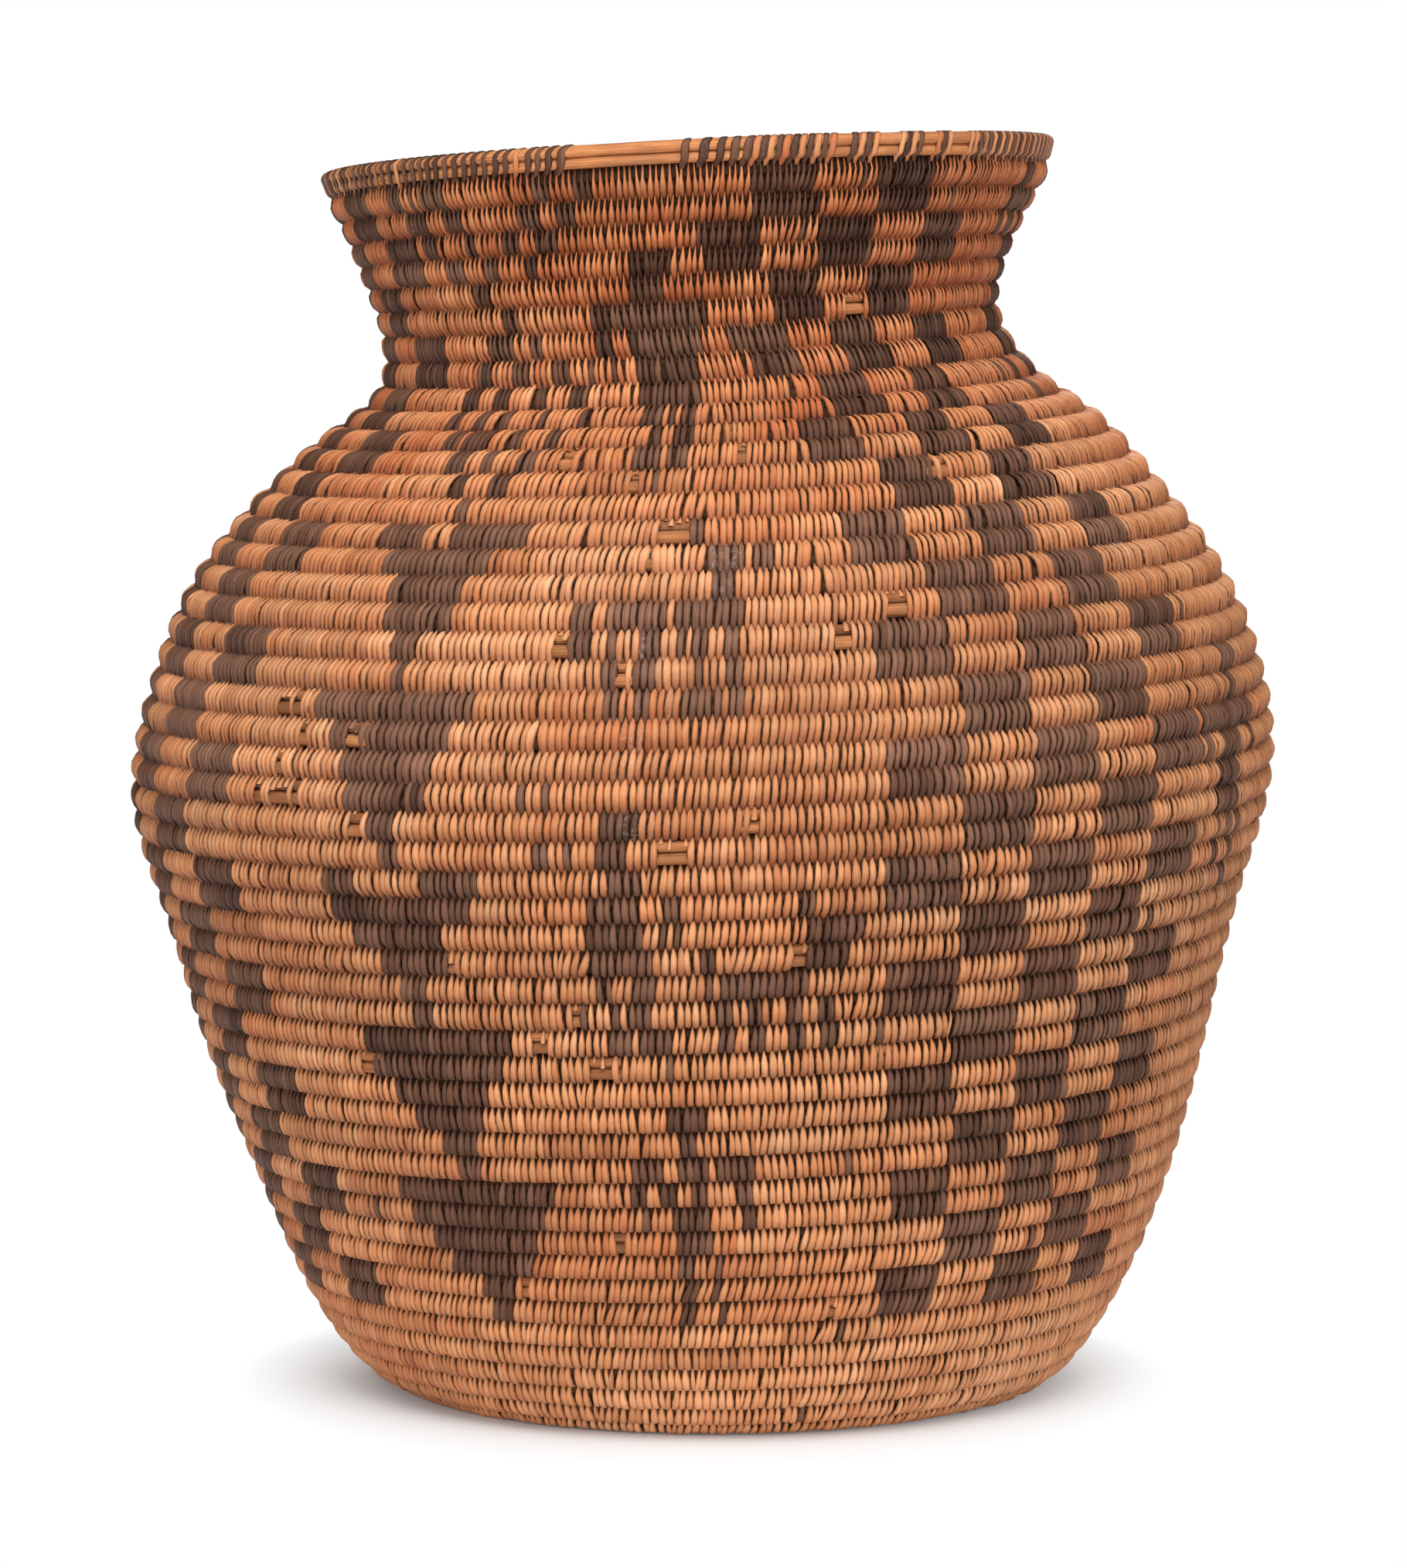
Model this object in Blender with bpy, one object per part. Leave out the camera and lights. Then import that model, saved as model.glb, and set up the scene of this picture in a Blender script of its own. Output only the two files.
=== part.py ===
"""Coiled storage basket with woven figures: one long coil, sewn turn by turn from the base to the rim.

Metres, +Z up, origin on the floor under the middle of the jar. The front is towards -Y.
"""
import math

import bmesh
import bpy
import numpy as np

for item in list(bpy.data.objects):
    bpy.data.objects.remove(item, do_unlink=True)

# Outline along the grooves between turns. Each rise is counted from the station below it.
# The foot and its edge are set in from the heel, and the mouth from the rim.
FOOT_INSET = 0.0185
FOOT_EDGE_INSET = 0.0092
FOOT_EDGE_RISE = 0.0034
HEEL_RADIUS = 0.0994
HEEL_RISE = 0.0098
LOWER_WALL_RADIUS = 0.1178
LOWER_WALL_RISE = 0.0382
MIDDLE_WALL_RADIUS = 0.1322
MIDDLE_WALL_RISE = 0.0451
UPPER_WALL_RADIUS = 0.1415
UPPER_WALL_RISE = 0.0342
BELLY_RADIUS = 0.1489
BELLY_RISE = 0.0279
BELLY_TOP_RADIUS = 0.1449
BELLY_TOP_RISE = 0.0290
LOW_SHOULDER_RADIUS = 0.1327
LOW_SHOULDER_RISE = 0.0281
SHOULDER_RADIUS = 0.1174
SHOULDER_RISE = 0.0193
HIGH_SHOULDER_RADIUS = 0.0997
HIGH_SHOULDER_RISE = 0.0171
NECK_FOOT_RADIUS = 0.0852
NECK_FOOT_RISE = 0.0113
NECK_RADIUS = 0.0797
NECK_RISE = 0.0140
THROAT_RADIUS = 0.0826
THROAT_RISE = 0.0171
MOUTH_INSET = 0.0031
MOUTH_RISE = 0.0188
RIM_RADIUS = 0.0931
RIM_RISE = 0.0069
LIP_FLARE = 0.0020
LIP_RISE = 0.0070

# The base is a shallow dome, clear of the floor inside the foot turn.
BASE_LIFT = 0.0040
KNOT_RADIUS = 0.0060

# Height of one turn along the outline, at the foot, lower wall, belly, high shoulder, neck and rim.
TURN_AT_FOOT = 0.0072
TURN_AT_LOWER_WALL = 0.0068
TURN_AT_BELLY = 0.0072
TURN_AT_HIGH_SHOULDER = 0.0084
TURN_AT_NECK = 0.0068
TURN_AT_RIM = 0.0073

# Body of a turn: wall from groove to groove, and the swell of its outer face.
WALL_THICKNESS = 0.0056
TURN_SWELL = 0.0016
SPLICE_GAP = 0.0003

# The jar has settled to one side, its right side up, and only the foot turn lies flat.
# Its mouth has settled too, and is this much lower at the back than at the front.
LEAN_ANGLE = math.radians(1.59)
MOUTH_DROP = 0.0090

# Its axis isn't straight: beside the lean, a turn stands aside from the belly by this much at most.
AXIS_WANDER = 0.0040

# Rim: three rods in a bunch, lashed to the last turn by splints that go right round them.
ROD_DIAMETER = 0.0027
SPLINT_THICKNESS = 0.0004
SPLINT_WIDTH = 0.0030
ROD_SET_BACK = 0.0004
ROD_END_SHARE = 0.45
ROD_TAPER_LENGTH = 0.0850
LASHING_PITCH = 0.0145
BARE_RIM_START = math.radians(-21)
BARE_RIM_END = math.radians(-4)

# Facets round one turn, and points that the outline is worked out on.
FACETS = 24
OUTLINE_SAMPLES = 2400

# Edges shallower than this are shaded round: along a turn and over its crests, but not in a groove.
ROUND_EDGE_ANGLE = math.radians(46)

LIGHT_SPLINT = (0.52, 0.25, 0.115)
PALE_SPLINT = (0.56, 0.30, 0.150)
RED_SPLINT = (0.43, 0.165, 0.065)
DARK_SPLINT = (0.055, 0.036, 0.027)
BARE_ROD = (0.58, 0.36, 0.18)


def paint(name, colour, roughness):
    """One Principled material for one finish."""
    material = bpy.data.materials.new(name)
    material.use_nodes = True
    shader = material.node_tree.nodes["Principled BSDF"]
    shader.inputs["Base Color"].default_value = (*colour, 1.0)
    shader.inputs["Roughness"].default_value = roughness
    shader.inputs["Metallic"].default_value = 0.0
    return material


def stations():
    """Radius and height of each named station, from the foot up."""
    steps = [
        (foot_radius, TURN_SWELL),
        (HEEL_RADIUS - FOOT_EDGE_INSET, FOOT_EDGE_RISE),
        (HEEL_RADIUS, HEEL_RISE),
        (LOWER_WALL_RADIUS, LOWER_WALL_RISE),
        (MIDDLE_WALL_RADIUS, MIDDLE_WALL_RISE),
        (UPPER_WALL_RADIUS, UPPER_WALL_RISE),
        (BELLY_RADIUS, BELLY_RISE),
        (BELLY_TOP_RADIUS, BELLY_TOP_RISE),
        (LOW_SHOULDER_RADIUS, LOW_SHOULDER_RISE),
        (SHOULDER_RADIUS, SHOULDER_RISE),
        (HIGH_SHOULDER_RADIUS, HIGH_SHOULDER_RISE),
        (NECK_FOOT_RADIUS, NECK_FOOT_RISE),
        (NECK_RADIUS, NECK_RISE),
        (THROAT_RADIUS, THROAT_RISE),
        (RIM_RADIUS - MOUTH_INSET, MOUTH_RISE),
        (RIM_RADIUS, RIM_RISE),
        (RIM_RADIUS + LIP_FLARE, LIP_RISE),
    ]
    radii = np.array([radius for radius, rise in steps])
    heights = np.cumsum([rise for radius, rise in steps])
    return np.column_stack((radii, heights))


def smooth_curve(points, first_slope, last_slope, samples):
    """Cubic spline through the points, spaced by their distances, with even curvature at each."""
    span = np.hypot(*np.diff(points, axis=0).T)
    knots = np.concatenate(([0.0], np.cumsum(span)))
    count = len(points)
    system = np.zeros((count, count))
    wanted = np.zeros((count, 2))
    system[0, 0] = 1
    system[-1, -1] = 1
    wanted[0] = first_slope
    wanted[-1] = last_slope
    for row in range(1, count - 1):
        before, after = span[row - 1], span[row]
        system[row, row - 1:row + 2] = (after, 2 * (before + after), before)
        rise_before = (points[row] - points[row - 1]) / before
        rise_after = (points[row + 1] - points[row]) / after
        wanted[row] = 3 * (after * rise_before + before * rise_after)
    slopes = np.linalg.solve(system, wanted)
    along = np.linspace(0.0, knots[-1], samples)
    part = np.clip(np.searchsorted(knots, along, side="right") - 1, 0, count - 2)
    share = ((along - knots[part]) / span[part])[:, None]
    length = span[part][:, None]
    start_weight = 2 * share ** 3 - 3 * share ** 2 + 1
    end_weight = 1 - start_weight
    start_slope = (share ** 3 - 2 * share ** 2 + share) * length
    end_slope = (share ** 3 - share ** 2) * length
    curve = start_weight * points[part] + end_weight * points[part + 1]
    return curve + start_slope * slopes[part] + end_slope * slopes[part + 1]


def arc_lengths(points):
    """Distance along a line of points, from its first."""
    return np.concatenate(([0.0], np.cumsum(np.hypot(*np.diff(points, axis=0).T))))


foot_radius = HEEL_RADIUS - FOOT_INSET
wall_stations = stations()
lip_slope = wall_stations[-1] - wall_stations[-2]
lip_slope = lip_slope / np.hypot(*lip_slope)
wall_curve = smooth_curve(wall_stations, (1.0, 0.0), lip_slope, OUTLINE_SAMPLES)
base_radii = np.linspace(0.0, foot_radius, OUTLINE_SAMPLES)[:-1]
base_heights = TURN_SWELL + BASE_LIFT * (1 - (base_radii / foot_radius) ** 2) ** 2
lip_end = wall_curve[-1] + lip_slope * TURN_AT_RIM * 2
outline = np.vstack((np.column_stack((base_radii, base_heights)), wall_curve, lip_end))
outline_arc = arc_lengths(outline)
outline_slope = np.gradient(outline, outline_arc, axis=0)


def arc_at(station):
    """Distance along the outline to a named station, by its place in the list of stations."""
    distance = np.hypot(*(outline - wall_stations[station]).T)
    return outline_arc[np.argmin(distance)]


foot_arc = arc_at(0)
rim_arc = arc_at(-2)
turn_arcs = [foot_arc, arc_at(3), arc_at(6), arc_at(10), arc_at(12), rim_arc]
turn_heights = [
    TURN_AT_FOOT,
    TURN_AT_LOWER_WALL,
    TURN_AT_BELLY,
    TURN_AT_HIGH_SHOULDER,
    TURN_AT_NECK,
    TURN_AT_RIM,
]

# Turns counted down from the rim at the front: the step in turns is one over the height of a turn.
turn_rate = 1 / np.interp(outline_arc, turn_arcs, turn_heights)
turn_steps = (turn_rate[1:] + turn_rate[:-1]) / 2 * np.diff(outline_arc)
turns_up = np.concatenate(([0.0], np.cumsum(turn_steps)))
turns_up = turns_up - np.interp(rim_arc, outline_arc, turns_up)

# The corners stand outside the round outline by as much as the middles of the facets stand inside it.
corner_share = 2 / (1 + math.cos(math.pi / FACETS))


def groove(index):
    """Arc of the groove above the coil at a facet line. Line 0 is at the front, at the rim's foot."""
    return np.interp(index / FACETS, turns_up, outline_arc)


def line_at(arc):
    """Nearest facet line whose groove passes a distance along the outline."""
    return int(round(np.interp(arc, outline_arc, turns_up) * FACETS))


def facet_angle(index):
    """Angle of a facet line: 0 at the front, growing to the right."""
    return 2 * math.pi * index / FACETS


lean_pivot = wall_stations[6][1]
neck_height = wall_stations[12][1]
rim_height = wall_stations[-2][1]

# By station: how much of the lean a turn is tilted by, and of the wander it stands to the left by.
tilt_shares = {0: 0.0, 2: 0.25, 3: 0.8, 6: 1.05, 9: 1.05, 11: 1.4, 12: 1.3, 15: 1.3}
aside_shares = {
    0: 0.1, 3: -0.25, 4: 0.1, 5: 0.1, 6: 0.0, 7: -0.4,
    9: -0.7, 10: -1.0, 11: -1.0, 12: -0.15, 15: -0.1,
}


def height_line(shares, size):
    """Smooth line against height that passes each named station at its share of a size."""
    points = [(share * size, wall_stations[station][1]) for station, share in shares.items()]
    return smooth_curve(np.array(points), (0.0, 1.0), (0.0, 1.0), OUTLINE_SAMPLES)


side_rise_line = height_line(tilt_shares, math.tan(LEAN_ANGLE) * BELLY_RADIUS)
aside_line = height_line(aside_shares, AXIS_WANDER)


def place(arc, proud, angle):
    """Point at a distance along the outline, a height proud of it, and an angle round the jar."""
    radius = np.interp(arc, outline_arc, outline[:, 0])
    height = np.interp(arc, outline_arc, outline[:, 1])
    out_radius = np.interp(arc, outline_arc, outline_slope[:, 1])
    out_height = -np.interp(arc, outline_arc, outline_slope[:, 0])
    radius = radius + proud * out_radius
    height = height + proud * out_height
    mouth_share = min(max((height - neck_height) / (rim_height - neck_height), 0.0), 1.0)
    height = height - MOUTH_DROP * (1 - math.cos(angle)) / 2 * mouth_share
    x = radius * corner_share * math.sin(angle)
    y = -radius * corner_share * math.cos(angle)
    aside = (height - lean_pivot) * math.tan(LEAN_ANGLE)
    aside = aside + np.interp(height, aside_line[:, 1], aside_line[:, 0])
    side_rise = np.interp(height, side_rise_line[:, 1], side_rise_line[:, 0])
    return (x - aside, y, height + side_rise * x / BELLY_RADIUS)


def finish(name, mesh_data, material):
    """Turn mesh data into a named object, shaded round across shallow edges."""
    mesh = bpy.data.meshes.new(name)
    mesh_data.to_mesh(mesh)
    mesh_data.free()
    mesh.shade_smooth()
    mesh.set_sharp_from_angle(angle=ROUND_EDGE_ANGLE)
    thing = bpy.data.objects.new(name, mesh)
    bpy.context.collection.objects.link(thing)
    thing.data.materials.append(material)
    return thing


def butt_angle(arc):
    """Angle that opens a splice gap at a turn's start."""
    return SPLICE_GAP / np.interp(arc, outline_arc, outline[:, 0])


# Where a turn's outer face is proudest, from its lower groove to its upper: over the two outer rods
# of the three that it is sewn over, or along one ridge on the base, where the coil lies tighter.
outer_rod_shares = (0.25, 0.75)
base_ridge_shares = (0.5,)


def coil_band(name, first, last, material, crest_shares=outer_rod_shares, tread=False, gaps=1):
    """A length of coil between two facet lines, its turns sewn to each other.

    Each turn's outer face runs groove, crests, groove, and its inner face runs groove to groove.
    A tread turn's crests are pressed flat on the floor. The start stands off the end before it by
    a number of splice gaps: two where that end belongs to a single turn.
    """
    mesh_data = bmesh.new()
    shift = gaps * butt_angle(groove(first))

    def corner(index, arc, proud):
        angle = facet_angle(index) + (shift if index == first else 0.0)
        return mesh_data.verts.new(place(arc, proud, angle))

    upper = {}
    lower = {}
    crests = {}
    for index in range(first, last + 1):
        arc = groove(index) + (SPLICE_GAP if index == first else 0.0)
        upper[index] = (corner(index, arc, 0.0), corner(index, arc, -WALL_THICKNESS))
    for index in range(first, last + 1):
        if index < first + FACETS:
            arc = groove(index - FACETS) + SPLICE_GAP
            lower[index] = (corner(index, arc, 0.0), corner(index, arc, -WALL_THICKNESS))
        else:
            lower[index] = upper[index - FACETS]
    for index in range(first, last + 1):
        below = groove(index - FACETS)
        above = groove(index)
        row = [corner(index, below + (above - below) * share, TURN_SWELL) for share in crest_shares]
        if tread:
            for vert in row:
                vert.co.z = 0.0
        crests[index] = row

    for index in range(first, last):
        here = [lower[index][0], *crests[index], upper[index][0]]
        ahead = [lower[index + 1][0], *crests[index + 1], upper[index + 1][0]]
        for step in range(len(here) - 1):
            mesh_data.faces.new((here[step], ahead[step], ahead[step + 1], here[step + 1]))
        mesh_data.faces.new((lower[index][1], upper[index][1], upper[index + 1][1], lower[index + 1][1]))
    for index in range(first, first + FACETS):
        mesh_data.faces.new((lower[index][0], lower[index][1], lower[index + 1][1], lower[index + 1][0]))
    for index in range(last - FACETS, last):
        mesh_data.faces.new((upper[index][0], upper[index + 1][0], upper[index + 1][1], upper[index][1]))
    start = [lower[first][0], *crests[first], upper[first][0], upper[first][1], lower[first][1]]
    end = [lower[last][0], *crests[last], upper[last][0], upper[last][1], lower[last][1]]
    mesh_data.faces.new(start)
    mesh_data.faces.new(reversed(end))
    return finish(name, mesh_data, material)


def start_knot(name, last, material):
    """The knot that the coil starts from: a small button whose edge follows the first groove."""
    mesh_data = bmesh.new()
    lines = range(last - FACETS, last + 1)
    outer = [mesh_data.verts.new(place(groove(line), 0.0, facet_angle(line))) for line in lines]
    inner = [mesh_data.verts.new(place(groove(line), -WALL_THICKNESS, facet_angle(line))) for line in lines]
    under = mesh_data.verts.new(place(0.0, TURN_SWELL, 0.0))
    over = mesh_data.verts.new(place(0.0, -WALL_THICKNESS, 0.0))
    for step in range(FACETS):
        mesh_data.faces.new((under, outer[step + 1], outer[step]))
        mesh_data.faces.new((over, inner[step], inner[step + 1]))
        mesh_data.faces.new((outer[step], outer[step + 1], inner[step + 1], inner[step]))
    mesh_data.faces.new((under, outer[0], inner[0], over, inner[-1], outer[-1]))
    return finish(name, mesh_data, material)


# Each rod's level in the bunch, and how far it lies behind the outer pair, in rod spacings.
rod_levels = {"rim_rod_lower": (0.0, 0.0), "rim_rod_upper": (1.0, 0.0), "rim_rod_inner": (0.5, 1.0)}
rim_start = FACETS // 2
rim_end = rim_start + FACETS - 1
rim_length = 2 * math.pi * RIM_RADIUS


def rod_size(line):
    """Diameter of a rim rod at a facet line: each rod is pared down over the last of its length."""
    left = (rim_end - line) / FACETS * rim_length
    return ROD_DIAMETER * (ROD_END_SHARE + (1 - ROD_END_SHARE) * min(left / ROD_TAPER_LENGTH, 1.0))


def rim_point(rod, line):
    """Centre of a rim rod at a facet line. A lashing passes under the bunch, with a gap on each side."""
    level, behind = rod_levels[rod]
    size = rod_size(line)
    spacing = size + SPLICE_GAP
    up = SPLICE_GAP + SPLINT_THICKNESS + SPLICE_GAP + size / 2 + level * spacing
    proud = -ROD_SET_BACK - behind * spacing * math.cos(math.radians(30))
    angle = facet_angle(line)
    if line == rim_start:
        angle = angle + butt_angle(groove(line))
    arc = groove(line - FACETS)
    seat = np.array(place(arc, 0.0, angle))
    upward = np.array(place(arc + TURN_SWELL, 0.0, angle)) - seat
    outward = np.array(place(arc, TURN_SWELL, angle)) - seat
    return seat + upward / np.linalg.norm(upward) * up + outward / np.linalg.norm(outward) * proud


def rim_rod(name, material):
    """One foundation rod, left bare of stitches, that runs once round the mouth and thins at its end."""
    curve = bpy.data.curves.new(name, "CURVE")
    curve.dimensions = "3D"
    curve.bevel_depth = ROD_DIAMETER / 2
    curve.bevel_resolution = 1
    curve.use_fill_caps = True
    spline = curve.splines.new("POLY")
    lines = range(rim_start, rim_end + 1)
    spline.points.add(len(lines) - 1)
    for point, line in zip(spline.points, lines):
        point.co = (*rim_point(name, line), 1.0)
        point.radius = rod_size(line) / ROD_DIAMETER
    thing = bpy.data.objects.new(name, curve)
    bpy.context.collection.objects.link(thing)
    curve.materials.append(material)
    return thing


def lashing(name, first_turn, last_turn, material):
    """One splint wound round the three rods, its outer face a low ridge.

    Its six corners a winding sit clear of the rods, two at each rod, and each goes a little further on.
    """
    mesh_data = bmesh.new()
    corner_turn = math.radians(30)
    steps = int((last_turn - first_turn) * rim_length / LASHING_PITCH) * 6
    rings = []
    for step in range(steps + 1):
        line = (first_turn + step / 6 * LASHING_PITCH / rim_length) * FACETS
        before = math.floor(line)
        share = line - before
        here = [rim_point(rod, before) for rod in rod_levels]
        ahead = [rim_point(rod, before + 1) for rod in rod_levels]
        clear = rod_size(line) / 2 + SPLICE_GAP
        crown = clear + SPLINT_THICKNESS
        along = ahead[0] - here[0]
        along = along / np.linalg.norm(along)
        centres = [near * (1 - share) + far * share for near, far in zip(here, ahead)]
        middle = sum(centres) / len(centres)
        centre = centres[step // 2 % 3]
        outward = centre - middle
        outward = outward - along * np.dot(outward, along)
        outward = outward / np.linalg.norm(outward)
        sideways = np.cross(outward, along)
        turn = corner_turn if step % 2 else -corner_turn
        ray = (outward * math.cos(turn) + sideways * math.sin(turn)) / math.cos(turn)
        side = along * SPLINT_WIDTH / 2
        ring = (centre + ray * clear - side, centre + ray * crown, centre + ray * clear + side)
        rings.append([mesh_data.verts.new(corner) for corner in ring])
    for ring, after in zip(rings, rings[1:]):
        for corner in range(3):
            beside = (corner + 1) % 3
            mesh_data.faces.new((ring[corner], ring[beside], after[beside], after[corner]))
    mesh_data.faces.new(reversed(rings[0]))
    mesh_data.faces.new(rings[-1])
    bmesh.ops.recalc_face_normals(mesh_data, faces=mesh_data.faces)
    return finish(name, mesh_data, material)


# Where each length of coil is spliced to the next: under the foot, and then at the back of the jar.
knot_end = line_at(KNOT_RADIUS) + FACETS
foot_start = line_at(foot_arc)
foot_end = foot_start + FACETS


def back_line(arc):
    """Facet line at the back of the jar, in the turn that passes a distance along the outline."""
    turns = np.interp(arc, outline_arc, turns_up)
    return int(round(turns - 0.5)) * FACETS + FACETS // 2


heel_end = back_line((foot_arc + arc_at(3)) / 2)
lower_wall_end = back_line(arc_at(3))
middle_wall_end = back_line(arc_at(4))
upper_wall_end = back_line(arc_at(5))
belly_end = back_line(arc_at(6))
belly_top_end = back_line(arc_at(7))
low_shoulder_end = back_line(arc_at(8))
shoulder_end = back_line(arc_at(9))
high_shoulder_end = back_line(arc_at(10))
neck_foot_end = back_line(arc_at(12))
neck_end = back_line(arc_at(13))
splices = [
    ("heel_coil", foot_end, heel_end, PALE_SPLINT, 0.62),
    ("lower_wall_coil", heel_end, lower_wall_end, PALE_SPLINT, 0.62),
    ("middle_wall_coil", lower_wall_end, middle_wall_end, PALE_SPLINT, 0.60),
    ("upper_wall_coil", middle_wall_end, upper_wall_end, LIGHT_SPLINT, 0.58),
    ("belly_coil", upper_wall_end, belly_end, LIGHT_SPLINT, 0.55),
    ("belly_top_coil", belly_end, belly_top_end, LIGHT_SPLINT, 0.55),
    ("low_shoulder_coil", belly_top_end, low_shoulder_end, LIGHT_SPLINT, 0.52),
    ("shoulder_coil", low_shoulder_end, shoulder_end, LIGHT_SPLINT, 0.50),
    ("high_shoulder_coil", shoulder_end, high_shoulder_end, LIGHT_SPLINT, 0.50),
    ("neck_foot_coil", high_shoulder_end, neck_foot_end, RED_SPLINT, 0.50),
    ("neck_coil", neck_foot_end, neck_end, RED_SPLINT, 0.50),
    ("mouth_coil", neck_end, rim_start, RED_SPLINT, 0.52),
]

start_knot("start_knot", knot_end, paint("start_knot", PALE_SPLINT, 0.65))
coil_band("base_coil", knot_end, foot_start, paint("base_coil", PALE_SPLINT, 0.65), base_ridge_shares)
coil_band("foot_coil", foot_start, foot_end, paint("foot_coil", PALE_SPLINT, 0.65), tread=True)
for name, first, last, colour, roughness in splices:
    coil_band(name, first, last, paint(name, colour, roughness), gaps=2 if first == foot_end else 1)
for name in rod_levels:
    rim_rod(name, paint(name, BARE_ROD, 0.55))
bare_start = 1 + BARE_RIM_START / (2 * math.pi)
bare_end = 1 + BARE_RIM_END / (2 * math.pi)
first_lashing = rim_start / FACETS + LASHING_PITCH / rim_length / 2
last_lashing = rim_end / FACETS
half_pitch = LASHING_PITCH / rim_length / 2
lengths = [
    ("left_dark_lashing", first_lashing, bare_start - half_pitch, DARK_SPLINT),
    ("left_light_lashing", first_lashing + half_pitch, bare_start, RED_SPLINT),
    ("right_dark_lashing", bare_end, last_lashing - half_pitch, DARK_SPLINT),
    ("right_light_lashing", bare_end + half_pitch, last_lashing, RED_SPLINT),
]
for name, first_turn, last_turn, colour in lengths:
    lashing(name, first_turn, last_turn, paint(name, colour, 0.5))
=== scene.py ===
import math

import bpy
import numpy as np
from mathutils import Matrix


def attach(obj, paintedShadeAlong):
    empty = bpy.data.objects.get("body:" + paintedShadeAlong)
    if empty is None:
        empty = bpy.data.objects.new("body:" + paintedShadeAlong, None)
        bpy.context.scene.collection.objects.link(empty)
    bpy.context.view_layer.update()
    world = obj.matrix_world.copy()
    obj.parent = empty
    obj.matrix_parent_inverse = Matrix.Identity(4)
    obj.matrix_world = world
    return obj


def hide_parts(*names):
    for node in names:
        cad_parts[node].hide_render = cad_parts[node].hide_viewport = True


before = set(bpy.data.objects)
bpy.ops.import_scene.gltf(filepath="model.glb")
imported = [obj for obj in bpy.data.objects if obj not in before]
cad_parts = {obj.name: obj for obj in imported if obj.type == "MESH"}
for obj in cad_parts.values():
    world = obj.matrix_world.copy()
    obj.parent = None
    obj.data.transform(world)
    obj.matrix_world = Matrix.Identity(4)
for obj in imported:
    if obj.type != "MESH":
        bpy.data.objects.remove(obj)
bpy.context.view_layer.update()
print("frame loaded:", len(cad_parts), "nodes")


def addObject(name, data):
    thing = bpy.data.objects.new(name, data)
    bpy.context.scene.collection.objects.link(thing)
    return thing


# Camera, fitted to the photograph of 1820 x 2028
cameraSettings = {
    "place": (0.00040, -1.72905, 0.3269),
    "pitchDown": 5.567,
    "lens": 150.36,
    "sensor": 36.0,
    "clipStart": 0.01,
}
camera = addObject("camera", bpy.data.cameras.new("camera"))
camera.data.lens = cameraSettings["lens"]
camera.data.sensor_width = cameraSettings["sensor"]
camera.data.clip_start = cameraSettings["clipStart"]
camera.location = cameraSettings["place"]
camera.rotation_euler = (math.radians(90 - cameraSettings["pitchDown"]), 0, 0)
bpy.context.scene.camera = camera
bpy.context.scene.view_settings.view_transform = "Standard"

# The jar's outline, turns and lean, the same as the model's
jar = {
    "stations": (  # radius, and rise from the one below
        (0.0809, 0.0016), (0.0902, 0.0034), (0.0994, 0.0098), (0.1178, 0.0382), (0.1322, 0.0451),
        (0.1415, 0.0342), (0.1489, 0.0279), (0.1449, 0.0290), (0.1327, 0.0281), (0.1174, 0.0193),
        (0.0997, 0.0171), (0.0852, 0.0113), (0.0797, 0.0140), (0.0826, 0.0171), (0.0900, 0.0188),
        (0.0931, 0.0069), (0.0951, 0.0070)),
    "turnPlaces": (0, 3, 6, 10, 12, -2),
    "turnHeights": (0.0072, 0.0068, 0.0072, 0.0084, 0.0068, 0.0073),
    "courses": 48,
    "belly": 6,  # station
    "neck": 12,
    "baseLift": 0.0040,
    "footSwell": 0.0016,
    "lean": math.radians(1.59),
    "mouthDrop": 0.0090,
    "axisWander": 0.0040,
    "tiltShares": {0: 0.0, 2: 0.25, 3: 0.8, 6: 1.05, 9: 1.05, 11: 1.4, 12: 1.3, 15: 1.3},
    "asideShares": {0: 0.1, 3: -0.25, 4: 0.1, 5: 0.1, 6: 0.0, 7: -0.4, 9: -0.7, 10: -1.0,
                    11: -1.0, 12: -0.15, 15: -0.1},
    "samples": 2400,
    "lowest": 0.00002,
}


def smoothCurve(points, firstSlope, lastSlope, samples):
    # Cubic through the points, spaced by their distances, with even curvature at each
    span = np.hypot(*np.diff(points, axis=0).T)
    knots = np.concatenate(([0.0], np.cumsum(span)))
    count = len(points)
    system = np.zeros((count, count))
    wanted = np.zeros((count, 2))
    system[0, 0] = system[-1, -1] = 1
    wanted[0], wanted[-1] = firstSlope, lastSlope
    for row in range(1, count - 1):
        before, after = span[row - 1], span[row]
        system[row, row - 1:row + 2] = (after, 2 * (before + after), before)
        riseBefore = (points[row] - points[row - 1]) / before
        riseAfter = (points[row + 1] - points[row]) / after
        wanted[row] = 3 * (after * riseBefore + before * riseAfter)
    slopes = np.linalg.solve(system, wanted)
    along = np.linspace(0.0, knots[-1], samples)
    part = np.clip(np.searchsorted(knots, along, side="right") - 1, 0, count - 2)
    share = ((along - knots[part]) / span[part])[:, None]
    length = span[part][:, None]
    startWeight = 2 * share ** 3 - 3 * share ** 2 + 1
    startSlope = (share ** 3 - 2 * share ** 2 + share) * length
    endSlope = (share ** 3 - share ** 2) * length
    curve = startWeight * points[part] + (1 - startWeight) * points[part + 1]
    return curve + startSlope * slopes[part] + endSlope * slopes[part + 1]


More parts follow.
